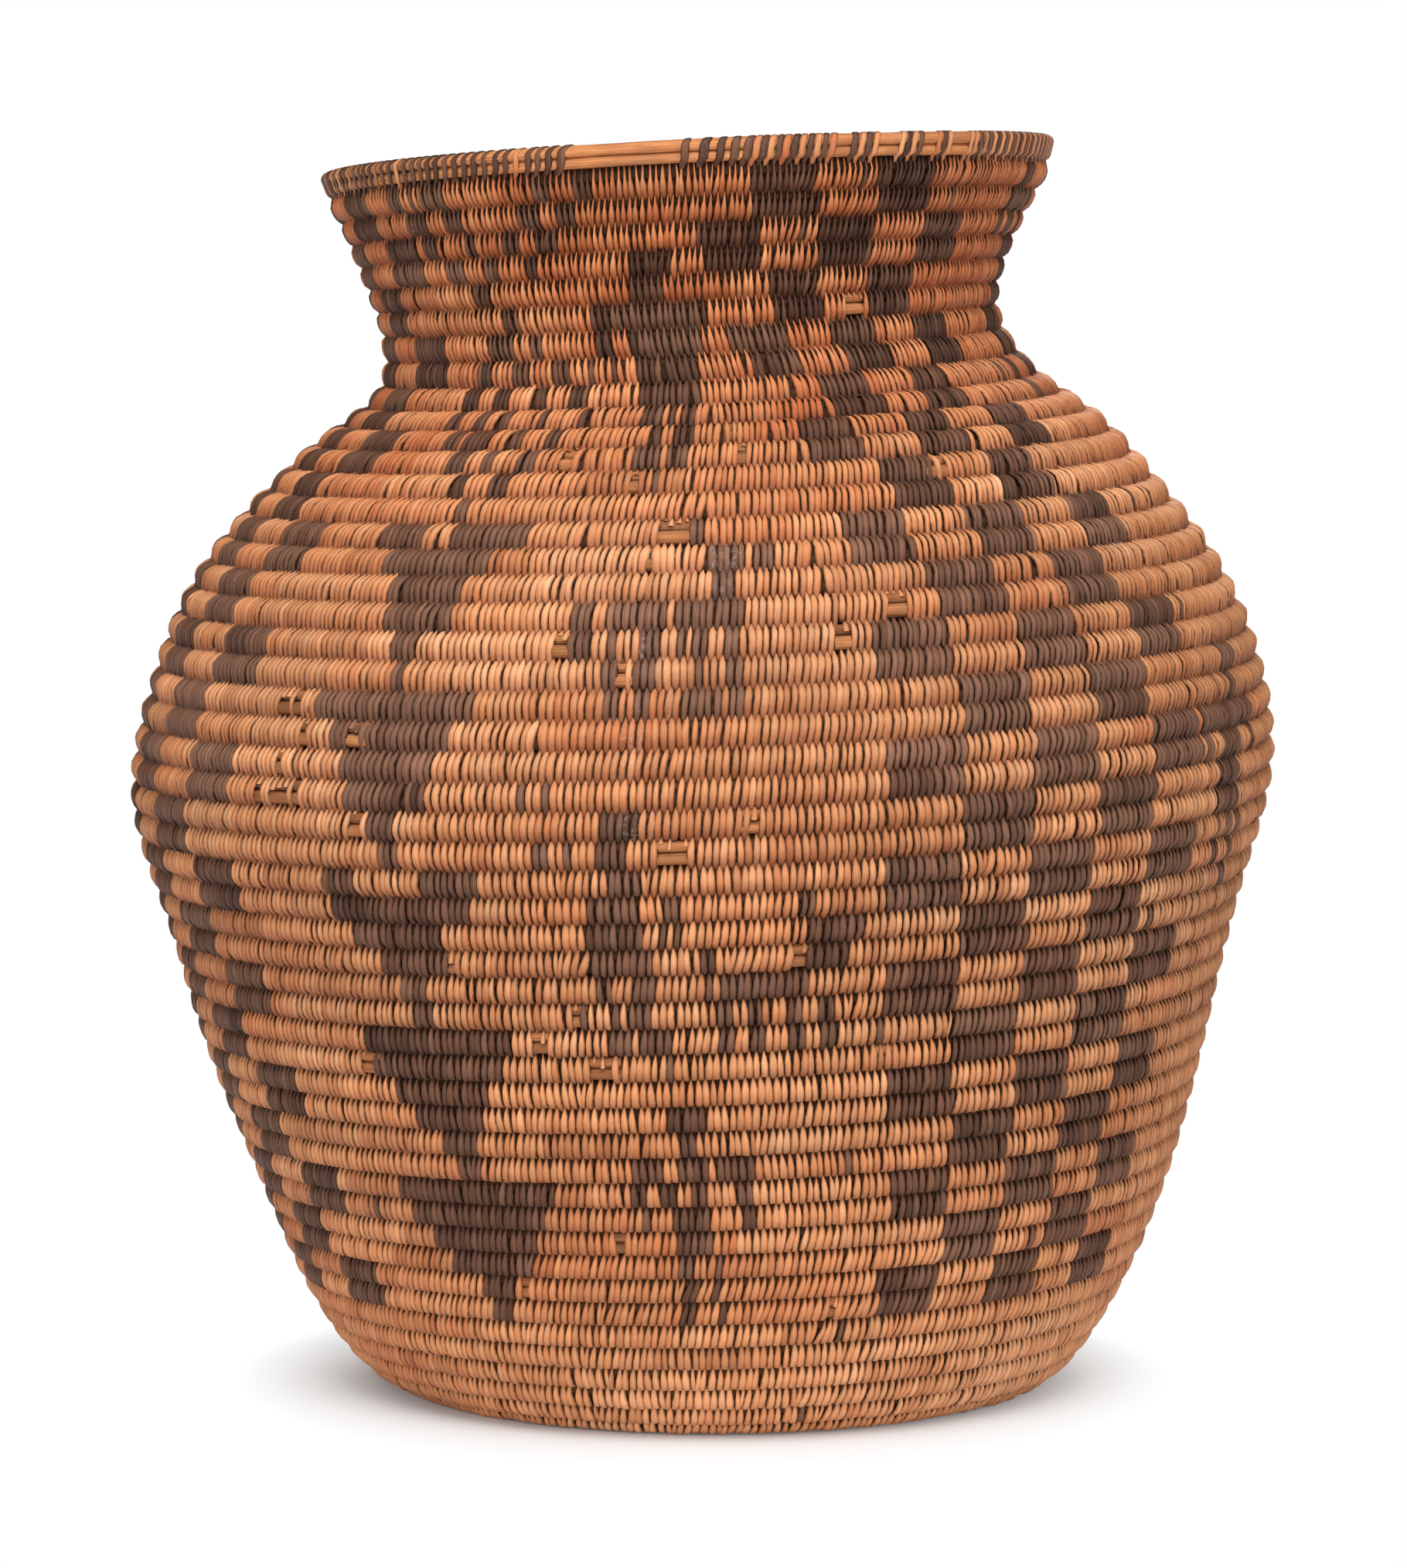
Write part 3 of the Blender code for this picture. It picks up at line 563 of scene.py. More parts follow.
def stitchSurface(chosen, across, along, inside):
    # Across w from -1 to 1 and along v from 0 to 1: the centre line leans from foot to tip, and the height
    # rises to a ridge half way up the coil and falls again. Three outlines are mixed by height: a blunt foot
    # and a narrow upper end on the lower wall, a lens on the belly, and a drop with a thin upper end on the
    # neck.
    low, high, first, reachHere, tipHere, lens, drop, wide, bendHere, skewHere, liftHere, rollHere = (
        values[chosen][:, None, None] for values in
        (lows, tops, partFrom, reach, tipShare, lensShare, dropShare, halfWidth, bend, skew, lift, roll))
    w = np.array(across)
    v = np.array(along)[:, None] * (1 - first) + first
    lowArc = np.maximum(grooveArc(low - 1), stitch["lowestArc"][0])
    topArc = grooveArc(high)
    footReach = stitch["footReach"] + (stitch["lensReach"] - stitch["footReach"]) * lens
    firstArc = np.maximum(lowArc - footReach * reachHere, stitch["lowestArc"][1])
    lastArc = topArc + stitch["tipReach"] * tipHere
    arc = firstArc + (lastArc - firstArc) * v
    turns = low + (high - low) * (3 * v ** 2 - 2 * v ** 3) + bendHere * np.sin(math.pi * v)
    bluntFoot, lensFoot = roundedEnd(v, *stitch["bluntFoot"]), roundedEnd(v, *stitch["lensFoot"])
    bluntTop, dropTop = thinned(v, *stitch["bluntTop"]), thinned(v, *stitch["dropTop"])
    top = bluntTop + (roundedEnd(1 - v, *stitch["lensTop"]) - bluntTop) * lens
    top = top + (dropTop - top) * drop
    taper = top * (bluntFoot + (lensFoot - bluntFoot) * lens)
    half = wide * (stitch["thinnest"] + (1 - stitch["thinnest"]) * taper)
    radius = np.maximum(np.interp(arc, outlineArc, outline[:, 0]), stitch["leastRadius"])
    angle = 2 * math.pi * turns + (w * half + skewHere * w * w * (2 * v - 1)) / radius
    # The ridge lies half way up a lens and lower on a blunt stitch, which is also rounder, as the drops are.
    # On the neck the grooves are shallower.
    share = np.clip((arc - lowArc) / (topArc - lowArc), 0, 1)
    belly = np.clip(lens, 0, 1)
    ridgeLow, ridgeMore = (1, 0) if inside else stitch["ridge"]
    q = np.abs(2 * share ** (ridgeLow + ridgeMore * belly) - 1)
    tent, arch = ((1 - q ** power) ** root for power, root in (stitch["tent"], stitch["arch"]))
    if inside:
        proud = stitch["insideGroove"] + (stitch["insideCrest"] - stitch["insideGroove"]) * arch
        proud = proud + stitch["dome"] * 3 * w * w
    else:
        swell = tent + (arch - tent) * np.maximum(1 - belly, drop)
        level = stitch["footLevel"] + (stitch["tipLevel"] - stitch["footLevel"]) * np.clip(v, 0, 1)
        level = level + stitch["neckFill"] * drop
        proud = level + (stitch["crest"] + liftHere - level) * swell
        proud = proud - stitch["dome"] * w ** 2 - stitch["edge"] * w ** 6 + rollHere * w
    return place(arc + 0 * w, proud, angle), (0.5 + 0.5 * w, v)


def overSurface(chosen):
    # Across w from -1 to 1, and along a path from the outer crest over the coil's open top to the inner
    # crest, with the edges drawn in towards the middle of the path
    w = np.array(stitch["acrossOutside"])
    path = np.array(stitch["overPath"])
    away = path - path.mean(axis=0)
    away = away / np.linalg.norm(away, axis=-1, keepdims=True)
    rows = path[:, None] - away[:, None] * (stitch["dome"] * w ** 2)[None, :, None]
    high = tops[chosen][:, None, None]
    across = w * spacing[chosen][:, None, None] * stitch["fill"] / radiusAt(high)
    angle = 2 * math.pi * high + across + 0 * rows[..., 0]
    points = place(grooveArc(high) + rows[..., 0], rows[..., 1] + 0 * angle, angle)
    return points, (0.5 + 0.5 * w, np.linspace(*stitch["overUv"], len(path))[:, None])


def limited(middle, spread, least, most):
    return np.clip(scatter(middle, spread), least, most)


halfWidth = spacing * stitch["fill"] * limited(*stitch["width"])
halfWidth = np.clip(halfWidth, stitch["narrowest"], stitch["widest"])
halfWidth *= byCourse(stitch["wider"])
halfWidth[broken] *= stitch["brokenWidth"]
reach = limited(*stitch["reach"])
bend = scatter(0, stitch["bend"]) / np.maximum(radiusAt(stitchTurns), stitch["bendRadius"])
skew = scatter(0, stitch["skew"])
lensShare = np.clip(byCourse(stitch["lens"]) + scatter(0, stitch["lensSpread"]), 0, stitch["lensMost"])
dropShare = byCourse(stitch["drop"]) + scatter(0, stitch["dropSpread"]) * (course > stitch["drop"][0][0])
dropShare = np.clip(dropShare, 0, 1)
openTop = tops > stitch["openFrom"]
tipShare = np.where(openTop, stitch["openReach"], reach)
lift = scatter(0, stitch["crestSpread"])
roll = scatter(*stitch["roll"])
stub = random.random(stitchCount)
gone = broken & (stub > stitch["goneShare"])
stubFirst, stubMore = stitch["stubFrom"]  # the lower part of a stub is gone
partFrom = np.where(broken & (stub < stitch["stubShare"]), stubFirst + stubMore * stub, 0.0)
brownFirst, brownMore = colouring["brownShare"]
brownShare = brownFirst + brownMore * random.random(stitchCount)


# Materials
def addNode(tree, kind, inputs, **settings):
    # A shader node with its settings. Each input is a link from another node's output, or a constant
    node = tree.nodes.new("ShaderNode" + kind)
    for key, value in settings.items():
        setattr(node, key, value)
    for label, value in inputs.items():
        setInput(tree, node.inputs[label], value)
    return node


def setInput(tree, socket, value):
    if isinstance(value, bpy.types.NodeSocket):
        tree.links.new(value, socket)
    else:
        socket.default_value = (*value, 1.0) if isinstance(value, tuple) else value


def mathNode(tree, operation, *values, clamp=False):
    return addNode(tree, "Math", dict(enumerate(values)), operation=operation, use_clamp=clamp).outputs[0]


def noiseNode(tree, vector, scale, detail=2.0, roughness=0.55):
    inputs = {"Vector": vector, "Scale": scale, "Detail": detail, "Roughness": roughness}
    return addNode(tree, "TexNoise", inputs).outputs["Fac"]


def joinNode(tree, x, y, z):
    return addNode(tree, "CombineXYZ", {0: x, 1: y, 2: z}).outputs[0]


def splitNode(tree, vector):
    return addNode(tree, "SeparateXYZ", {0: vector}).outputs


def rangeNode(tree, value, fromLow, fromHigh, toLow, toHigh):
    inputs = {"Value": value, "From Min": fromLow, "From Max": fromHigh, "To Min": toLow, "To Max": toHigh}
    return addNode(tree, "MapRange", inputs).outputs["Result"]


def mixColour(tree, share, first, second, blend="MIX"):
    inputs = {0: share, 6: first, 7: second}
    return addNode(tree, "Mix", inputs, data_type="RGBA", blend_type=blend).outputs[2]


def rampNode(tree, value, spots):
    # Colours at places from 0 to 1
    node = addNode(tree, "ValToRGB", {0: value})
    elements = node.color_ramp.elements
    elements[0].color, elements[1].color = (*spots[0][1], 1), (*spots[-1][1], 1)
    for spot, colour in spots[1:-1]:
        elements.new(spot).color = (*colour, 1)
    return node.outputs[0]


def attributeNode(tree, name):
    return addNode(tree, "Attribute", {}, attribute_name=name).outputs["Fac"]


def uvNode(tree):
    return addNode(tree, "UVMap", {}, uv_map="splint").outputs[0]


def objectNode(tree):
    return addNode(tree, "TexCoord", {}).outputs["Object"]


def newGroup(name, inputs, outputs):
    # A node group, the outputs of its inputs, and the node that takes its results
    group = bpy.data.node_groups.new(name, "ShaderNodeTree")
    for side, sockets in (("INPUT", inputs), ("OUTPUT", outputs)):
        for label, kind in sockets.items():
            group.interface.new_socket(name=label, in_out=side, socket_type="NodeSocket" + kind)
    return group, group.nodes.new("NodeGroupInput").outputs, group.nodes.new("NodeGroupOutput")


def placeGroup(tree, group, **inputs):
    return addNode(tree, "Group", inputs, node_tree=group).outputs


# Fibre along a splint: fine streaks, one faint crease, and a height for the bump
fibreLook = {
    "shiftSpread": 37.0, "streakLength": 1.7, "streakDetail": 3.0, "streakRoughness": 0.6,
    "wanderLength": 2.2, "wander": 0.9, "creaseMiddle": -0.02, "creaseWidth": 0.11, "creaseDepth": 0.22,
}
fibre, given, results = newGroup(
    "splintFibre",
    {"UV": "Vector", "Shift": "Float", "Streaks": "Float"},
    {"Streak": "Float", "Crease": "Float", "Height": "Float"},
)
across, along = splitNode(fibre, given["UV"])[:2]
moved = mathNode(fibre, "MULTIPLY", given["Shift"], fibreLook["shiftSpread"])
streakAcross = mathNode(fibre, "MULTIPLY_ADD", across, given["Streaks"], moved)
streakAlong = mathNode(fibre, "MULTIPLY_ADD", along, fibreLook["streakLength"], moved)
streakPlace = joinNode(fibre, streakAcross, streakAlong, moved)
streak = noiseNode(fibre, streakPlace, 1.0, fibreLook["streakDetail"], fibreLook["streakRoughness"])
wanderAlong = mathNode(fibre, "MULTIPLY", along, fibreLook["wanderLength"])
wander = noiseNode(fibre, joinNode(fibre, moved, wanderAlong, moved), 1.0, 1.0)
creaseMiddle = mathNode(fibre, "MULTIPLY_ADD", wander, fibreLook["wander"], fibreLook["creaseMiddle"])
creaseAway = mathNode(fibre, "ABSOLUTE", mathNode(fibre, "SUBTRACT", across, creaseMiddle))
crease = rangeNode(fibre, creaseAway, 0.0, fibreLook["creaseWidth"], 1.0, 0.0)
creaseDrop = mathNode(fibre, "MULTIPLY", crease, fibreLook["creaseDepth"])
setInput(fibre, results.inputs["Streak"], streak)
setInput(fibre, results.inputs["Crease"], crease)
setInput(fibre, results.inputs["Height"], mathNode(fibre, "SUBTRACT", streak, creaseDrop))

# Dirt and painted shade in the grooves: strongest at the two ends of a stitch and along its edges
grimeAndShadeLook = {
    "endPower": 5.0, "footPower": 4.0, "footShare": 0.55, "edgePower": 3.8, "edgeShare": 1.35,
    "shiftSpread": 51.0, "patchLength": 3.0, "patchScale": 2.0, "patchRange": (0.3, 0.7, 0.55, 1.25),
}
grimeAndShade, given, results = newGroup("grooveGrimeAndShade", {"UV": "Vector", "Shift": "Float"}, {"Mask": "Float"})
across, along = splitNode(grimeAndShade, given["UV"])[:2]
endAway = mathNode(grimeAndShade, "ABSOLUTE", mathNode(grimeAndShade, "MULTIPLY_ADD", along, 2.0, -1.0))
edgeAway = mathNode(grimeAndShade, "ABSOLUTE", mathNode(grimeAndShade, "MULTIPLY_ADD", across, 2.0, -1.0))
footAway = mathNode(grimeAndShade, "SUBTRACT", 1.0, along)
ends = mathNode(grimeAndShade, "POWER", endAway, grimeAndShadeLook["endPower"])
foot = mathNode(grimeAndShade, "POWER", footAway, grimeAndShadeLook["footPower"])
foot = mathNode(grimeAndShade, "MULTIPLY", foot, grimeAndShadeLook["footShare"])
edges = mathNode(grimeAndShade, "POWER", edgeAway, grimeAndShadeLook["edgePower"])
edges = mathNode(grimeAndShade, "MULTIPLY", edges, grimeAndShadeLook["edgeShare"])
patchAcross = mathNode(grimeAndShade, "MULTIPLY_ADD", given["Shift"], grimeAndShadeLook["shiftSpread"], across)
patchAlong = mathNode(grimeAndShade, "MULTIPLY", along, grimeAndShadeLook["patchLength"])
patchPlace = joinNode(grimeAndShade, patchAcross, patchAlong, given["Shift"])
patch = rangeNode(grimeAndShade, noiseNode(grimeAndShade, patchPlace, grimeAndShadeLook["patchScale"]), *grimeAndShadeLook["patchRange"])
total = mathNode(grimeAndShade, "ADD", mathNode(grimeAndShade, "MAXIMUM", ends, foot), edges)
setInput(grimeAndShade, results.inputs["Mask"], mathNode(grimeAndShade, "MULTIPLY", total, patch, clamp=True))

splintFinishes = {
    "lightSplint": {
        "pale": (0.85, 0.425, 0.215), "middle": (0.69, 0.295, 0.124), "warm": (0.49, 0.143, 0.046),
        # The first colour here is that of dirt and painted shade in the grooves
        "grimeAndShade": (0.036, 0.010, 0.003), "stain": (0.125, 0.066, 0.036), "specular": 0.28,
        "tone": (0.76, 1.20), "streak": (0.84, 1.14),
        # foot, low, waist and tip: painted shade along a stitch, from its foot to its tip
        "foot": (0.50, 0.36, 0.29), "low": (0.68, 0.54, 0.48), "waist": (0.86, 0.77, 0.72),
        "tip": (0.52, 0.39, 0.31),
    },
    "darkSplint": {
        "pale": (0.205, 0.098, 0.060), "middle": (0.138, 0.060, 0.034), "warm": (0.090, 0.037, 0.021),
        # The first colour here is that of dirt and painted shade in the grooves
        "grimeAndShade": (0.007, 0.003, 0.0015), "stain": (0.215, 0.104, 0.062), "specular": 0.18,
        "tone": (0.55, 1.50), "streak": (0.62, 1.50),
        # foot, low, waist and tip: painted shade along a stitch, from its foot to its tip
        "foot": (0.56, 0.48, 0.42), "low": (0.84, 0.78, 0.74), "waist": (0.97, 0.95, 0.93),
        "tip": (0.34, 0.27, 0.23),
    },
}
splintLook = {  # what both finishes share; a range is from, to, least and most
    "streaks": 9.0, "streakSeen": (0.25, 0.75), "middleAt": 0.42, "creaseShade": 0.86,
    # Where along a stitch the painted shade changes, and its colours at the crest and higher up, where it is
    # lightest
    "lowAt": 0.14, "waistAt": 0.36, "crestAt": 0.58, "highAt": 0.84,
    # The range after crest and high scales the grooves' dirt and painted shade by the stitch's share of
    # painted shade
    "crest": (0.99, 0.99, 0.99), "high": (0.94, 0.90, 0.86), "grimeAndShadeShare": (0.25, 1.0, 0.80, 0.95),
    "dust": (0.66, 0.56, 0.48), "dustSize": 900.0, "dustRange": (0.52, 0.62, 0.0, 1.0), "dustShare": 0.32,
    "sheen": (0.2, 0.8, 0.40, 0.58), "dirtRoughness": 0.40, "bump": (0.55, 0.00022),
}
rodLook = {
    "streaks": 14.0, "streakSeen": (0.3, 0.7), "specular": 0.12,
    "brownGrain": (0.36, 0.125, 0.042), "paleGrain": (0.66, 0.275, 0.108),
    "stainSize": 55.0, "stainRange": (0.52, 0.70, 0.0, 0.6), "stain": (0.20, 0.095, 0.060),
    # The last colour is the near black of painted shade, which also gives the exposed rods their darker tone
    "creaseShare": 0.5, "crease": (0.13, 0.065, 0.035), "shadeAndTone": (0.013, 0.004, 0.002),
    "sheen": (0.2, 0.8, 0.55, 0.75), "bump": (0.6, 0.0003),
}


def newMaterial(name):
    material = bpy.data.materials.new(name)
    material.use_nodes = True
    return material, material.node_tree


def finishShader(tree, colour, roughness, specular, height, bump):
    # Colour, roughness and a bump of the given strength and distance on the Principled BSDF
    strength, distance = bump
    bumpNode = addNode(tree, "Bump", {"Strength": strength, "Distance": distance, "Height": height})
    shader = tree.nodes["Principled BSDF"]
    shader.inputs["Specular IOR Level"].default_value = specular
    setInput(tree, shader.inputs["Base Color"], colour)
    setInput(tree, shader.inputs["Roughness"], roughness)
    setInput(tree, shader.inputs["Normal"], bumpNode.outputs[0])


def splintMaterial(name, finish):
    # Three colours by the stitch's warmth, streaked by its fibre, stained brown on some stitches, with
    # painted shade towards its foot and tip, dirt and painted shade in the grooves, and flecked with dust
    material, tree = newMaterial(name)
    uv = uvNode(tree)
    shiftValue = attributeNode(tree, "shift")
    paintedShadeShareValue = attributeNode(tree, "paintedShadeShare")
    grain = placeGroup(tree, fibre, UV=uv, Shift=shiftValue, Streaks=splintLook["streaks"])
    grimeAndShadeMask = placeGroup(tree, grimeAndShade, UV=uv, Shift=shiftValue)["Mask"]
    colour = rampNode(tree, attributeNode(tree, "warm"), (
        (0, finish["pale"]), (splintLook["middleAt"], finish["middle"]), (1, finish["warm"])))
    toneValue = rangeNode(tree, attributeNode(tree, "tone"), 0.0, 1.0, *finish["tone"])
    streakValue = rangeNode(tree, grain["Streak"], *splintLook["streakSeen"], *finish["streak"])
    creaseValue = rangeNode(tree, grain["Crease"], 0.0, 1.0, 1.0, splintLook["creaseShade"])
    shade = mathNode(tree, "MULTIPLY", mathNode(tree, "MULTIPLY", toneValue, streakValue), creaseValue)
    colour = addNode(tree, "VectorMath", {0: colour, "Scale": shade}, operation="SCALE").outputs[0]
    colour = mixColour(tree, attributeNode(tree, "brown"), colour, finish["stain"])
    # Painted shade along the stitch: darker at the foot and the tip, lightest about the crest, as strong as
    # the stitch's share of painted shade
    paintedShadeAlong = rampNode(tree, splitNode(tree, uv)[1], (
        (0, finish["foot"]), (splintLook["lowAt"], finish["low"]), (splintLook["waistAt"], finish["waist"]),
        (splintLook["crestAt"], splintLook["crest"]), (splintLook["highAt"], splintLook["high"]),
        (1, finish["tip"])))
    colour = mixColour(tree, paintedShadeShareValue, colour, paintedShadeAlong, "MULTIPLY")
    # Dirt and painted shade in the grooves, mixed in towards near black
    grimeAndShadeHere = mathNode(tree, "MULTIPLY", grimeAndShadeMask, rangeNode(tree, paintedShadeShareValue, *splintLook["grimeAndShadeShare"]))
    colour = mixColour(tree, grimeAndShadeHere, colour, finish["grimeAndShade"])
    fleck = noiseNode(tree, objectNode(tree), splintLook["dustSize"], 2.0, 0.6)
    fleck = rangeNode(tree, fleck, *splintLook["dustRange"])
    fleck = mathNode(tree, "MULTIPLY", fleck, attributeNode(tree, "dust"), clamp=True)
    fleck = mathNode(tree, "MULTIPLY", fleck, splintLook["dustShare"])
    colour = mixColour(tree, fleck, colour, splintLook["dust"])
    sheen = rangeNode(tree, grain["Streak"], *splintLook["sheen"])
    roughness = mathNode(tree, "MULTIPLY_ADD", grimeAndShadeMask, splintLook["dirtRoughness"], sheen)
    finishShader(tree, colour, roughness, finish["specular"], grain["Height"], splintLook["bump"])
    return material


def rodMaterial():
    # Long grain along the rod, a few dark splits, a brown stain by patches, and painted shade between the
    # stitches, mixed with a darker tone on the exposed rods
    material, tree = newMaterial("bareRod")
    grain = placeGroup(tree, fibre, UV=uvNode(tree), Shift=attributeNode(tree, "shift"),
                       Streaks=rodLook["streaks"])
    pale = rangeNode(tree, grain["Streak"], *rodLook["streakSeen"], 0.0, 1.0)
    colour = mixColour(tree, pale, rodLook["brownGrain"], rodLook["paleGrain"])
    stained = noiseNode(tree, objectNode(tree), rodLook["stainSize"], 3.0, 0.6)
    colour = mixColour(tree, rangeNode(tree, stained, *rodLook["stainRange"]), colour, rodLook["stain"])
    creased = mathNode(tree, "MULTIPLY", grain["Crease"], rodLook["creaseShare"])
    colour = mixColour(tree, creased, colour, rodLook["crease"])
    # Painted shade, and on the exposed rods a darker tone, mixed in towards near black
    colour = mixColour(tree, attributeNode(tree, "shadeAndTone"), colour, rodLook["shadeAndTone"])
    roughness = rangeNode(tree, grain["Streak"], *rodLook["sheen"])
    finishShader(tree, colour, roughness, rodLook["specular"], grain["Height"], rodLook["bump"])
    return material


lightSplint = splintMaterial("lightSplint", splintFinishes["lightSplint"])
darkSplint = splintMaterial("darkSplint", splintFinishes["darkSplint"])
bareRod = rodMaterial()
print("materials made")

# The last look is each stitch's share of painted shade
stitchLooks = {"warm": warm, "tone": tone, "shift": shift, "dust": dust,
               "brown": np.where(brown, brownShare, splintBrown * dark), "paintedShadeShare": paintedShadeShare}


def stitchPiece(name, chosen, material, nodes=(), inside=False, over=False):
    # The chosen stitches, outside, inside or over the coil's open top, each with its own looks
    chosen = np.flatnonzero(chosen)
    side = "Inside" if inside else "Outside"
    if over:
        points, uv = overSurface(chosen)
    else:
        points, uv = stitchSurface(chosen, stitch["across" + side], stitch["along" + side], inside)
    looks = {key: values[chosen][:, None, None] for key, values in stitchLooks.items()}
    faces = gridFaces(*points.shape[:-1], inward=inside)
    makePiece(name, points, faces, material, uv, looks, nodes)


def between(first, last):
    return (stitchTurns >= first) & (stitchTurns < last)


bands = (  # piece, first turn, last turn, slot, and the nodes that it stands for
    ("baseStitches", -61.1, -49.5, "pale_splint", ("start_knot", "base_coil", "foot_coil")),
    ("heelStitches", -49.5, -45.5, "pale_splint", ("heel_coil",)),
    ("lowerWallStitches", -45.5, -41.5, "pale_splint", ("lower_wall_coil",)),
    ("middleWallStitches", -41.5, -34.5, "pale_splint", ("middle_wall_coil",)),
    ("upperWallStitches", -34.5, -29.5, "light_splint", ("upper_wall_coil",)),
    ("bellyStitches", -29.5, -25.5, "light_splint", ("belly_coil",)),
    ("bellyTopStitches", -25.5, -21.5, "light_splint", ("belly_top_coil",)),
    ("lowShoulderStitches", -21.5, -17.5, "light_splint", ("low_shoulder_coil",)),
    ("shoulderStitches", -17.5, -14.5, "light_splint", ("shoulder_coil",)),
    ("highShoulderStitches", -14.5, -11.5, "light_splint", ("high_shoulder_coil",)),
    ("neckFootStitches", -11.5, -7.5, "red_splint", ("neck_foot_coil",)),
    ("neckStitches", -7.5, -3.5, "red_splint", ("neck_coil",)),
    ("mouthStitches", -3.5, 0.6, "red_splint", ("mouth_coil",)),
)
darkBands = (("footDark", -61, -36), ("lowerDark", -36, -26), ("upperDark", -26, -14), ("neckDark", -14, 0.6))
insideBands = (("base", -61, -41), ("wall", -41, -26), ("shoulder", -26, -11), ("neck", -11, 0.6))
for name, first, last, slot, nodes in bands:
    stitchPiece(name, between(first, last) & ~gone & ~dark, lightSplint, nodes)
for name, first, last in darkBands:
    stitchPiece(name + "Stitches", between(first, last) & ~gone & dark, darkSplint)
stitchPiece("coilEndLight", openTop & ~dark, lightSplint, over=True)
stitchPiece("coilEndDark", openTop & dark, darkSplint, over=True)
print("outside sewn")

for name, first, last in insideBands:
    stitchPiece(name + "InsideLight", between(first, last) & ~dark, lightSplint, inside=True)
    stitchPiece(name + "InsideDark", between(first, last) & dark, darkSplint, inside=True)
print("inside sewn")

# Foundation: the rods under the stitches, two showing outside and one inside
foundation = {
    "firstTurn": -60.9, "lastTurn": 0.5, "perTurn": 80, "smallestArc": 0.001, "waver": (0.08, 97),
    "section": (  # share of the turn's height, and how proud
        (0.02, -0.0012), (0.13, 0.0001), (0.27, 0.0008), (0.41, 0.0005), (0.50, -0.0002), (0.59, 0.0005),
        (0.73, 0.0008), (0.87, 0.0001), (0.98, -0.0012), (0.98, -0.0036), (0.80, -0.0050), (0.50, -0.0053),
        (0.20, -0.0050), (0.02, -0.0036)),
    "underRim": (-0.495, 0.460), "underRimRise": 0.0013, "topShare": 0.9,  # the top fills the slit there
    # Painted shade on the rods between the stitches: nearly black low down, and browner from the belly
    # upwards
    "shadeAndTone": ((-48, -38, -34, -24, -6), (0.86, 0.93, 0.96, 0.88, 0.93)),
    "shift": 0.37, "grainAround": 2, "grainAlong": 0.9,
}


def layFoundation():
    # A closed section carried along the spiral: two humps outside and one inside, a little uneven along
    # the way
    share, proud = np.array(foundation["section"]).T
    turns = np.arange(foundation["firstTurn"], foundation["lastTurn"], 1 / foundation["perTurn"])[:, None]
    low = np.maximum(grooveArc(turns - 1), foundation["smallestArc"])
    arc = low + (grooveArc(turns) - low) * share
    underRim = (turns > foundation["underRim"][0]) & (turns < foundation["underRim"][1])
    arc = arc + foundation["underRimRise"] * underRim * (share > foundation["topShare"])
    depth, quick = foundation["waver"]
    points = place(arc, proud * (1 + depth * np.sin(turns * quick)), 2 * math.pi * turns + 0 * arc)
    along = np.cumsum(radiusAt(turns))[:, None] * foundation["grainAlong"]
    shadeTurns = np.linspace(foundation["firstTurn"], foundation["lastTurn"], len(turns))
    looks = {"shift": foundation["shift"], "shadeAndTone": np.interp(shadeTurns, *foundation["shadeAndTone"])[:, None]}
    makePiece("foundationRods", points, tubeFaces(1, *arc.shape), bareRod,
              (share * foundation["grainAround"], along), looks)


exposed = {
    "seed": 3, "steps": 6, "sides": 8, "pastSpan": 0.5, "single": 0.0035,
    "share": (0.30, 0.72), "reachOut": (0.00145, 0.00105), "size": (0.225, 0.200), "shaded": (0.12, 0.16),
    "darkToneRange": 0.42, "grainAlong": 45, "grainApart": 9,
}


def exposeRods():
    # Short lengths of the two outer rods, round in section, drawn a little proud where stitches are broken
    past, single = exposed["pastSpan"], exposed["single"]
    spots = [(row - jar["courses"] + (first - past) / 360, row - jar["courses"] + (last + past) / 360)
             for row, spans in brokenSpans.items() for first, last in pairs(spans)]
    spots = np.array(spots + [(turns - single, turns + single) for turns in stitchTurns[broken & away]])
    steps, sides = exposed["steps"], exposed["sides"]
    share, reachOut, size, shaded = (
        np.array(exposed[key])[None, :, None, None] for key in ("share", "reachOut", "size", "shaded"))
    theta = np.linspace(0, 2 * math.pi, sides, endpoint=False)
    turns = spots[:, :1] + (spots[:, 1:] - spots[:, :1]) * np.linspace(0, 1, steps)
    turns = turns[:, None, :, None]
    low = grooveArc(turns - 1)
    pitch = grooveArc(turns) - low
    size = size * pitch
    arc = low + pitch * share + size * np.sin(theta)
    proud = reachOut - size + size * np.cos(theta)
    points = place(arc, proud, 2 * math.pi * turns + 0 * arc)
    count = len(spots) * 2
    tint = np.random.default_rng(exposed["seed"]).random(count).reshape(len(spots), 2, 1, 1)
    along = turns * exposed["grainAlong"] + share * exposed["grainApart"]
    # Each exposed rod is darkened by a random tone and by painted shade
    looks = {"shift": tint, "shadeAndTone": tint * exposed["darkToneRange"] + shaded}
    makePiece("exposedRods", points, tubeFaces(count, steps, sides, turned=True), bareRod,
              (np.abs(theta / math.pi - 1), along), looks)


layFoundation()
exposeRods()
print("foundation laid")

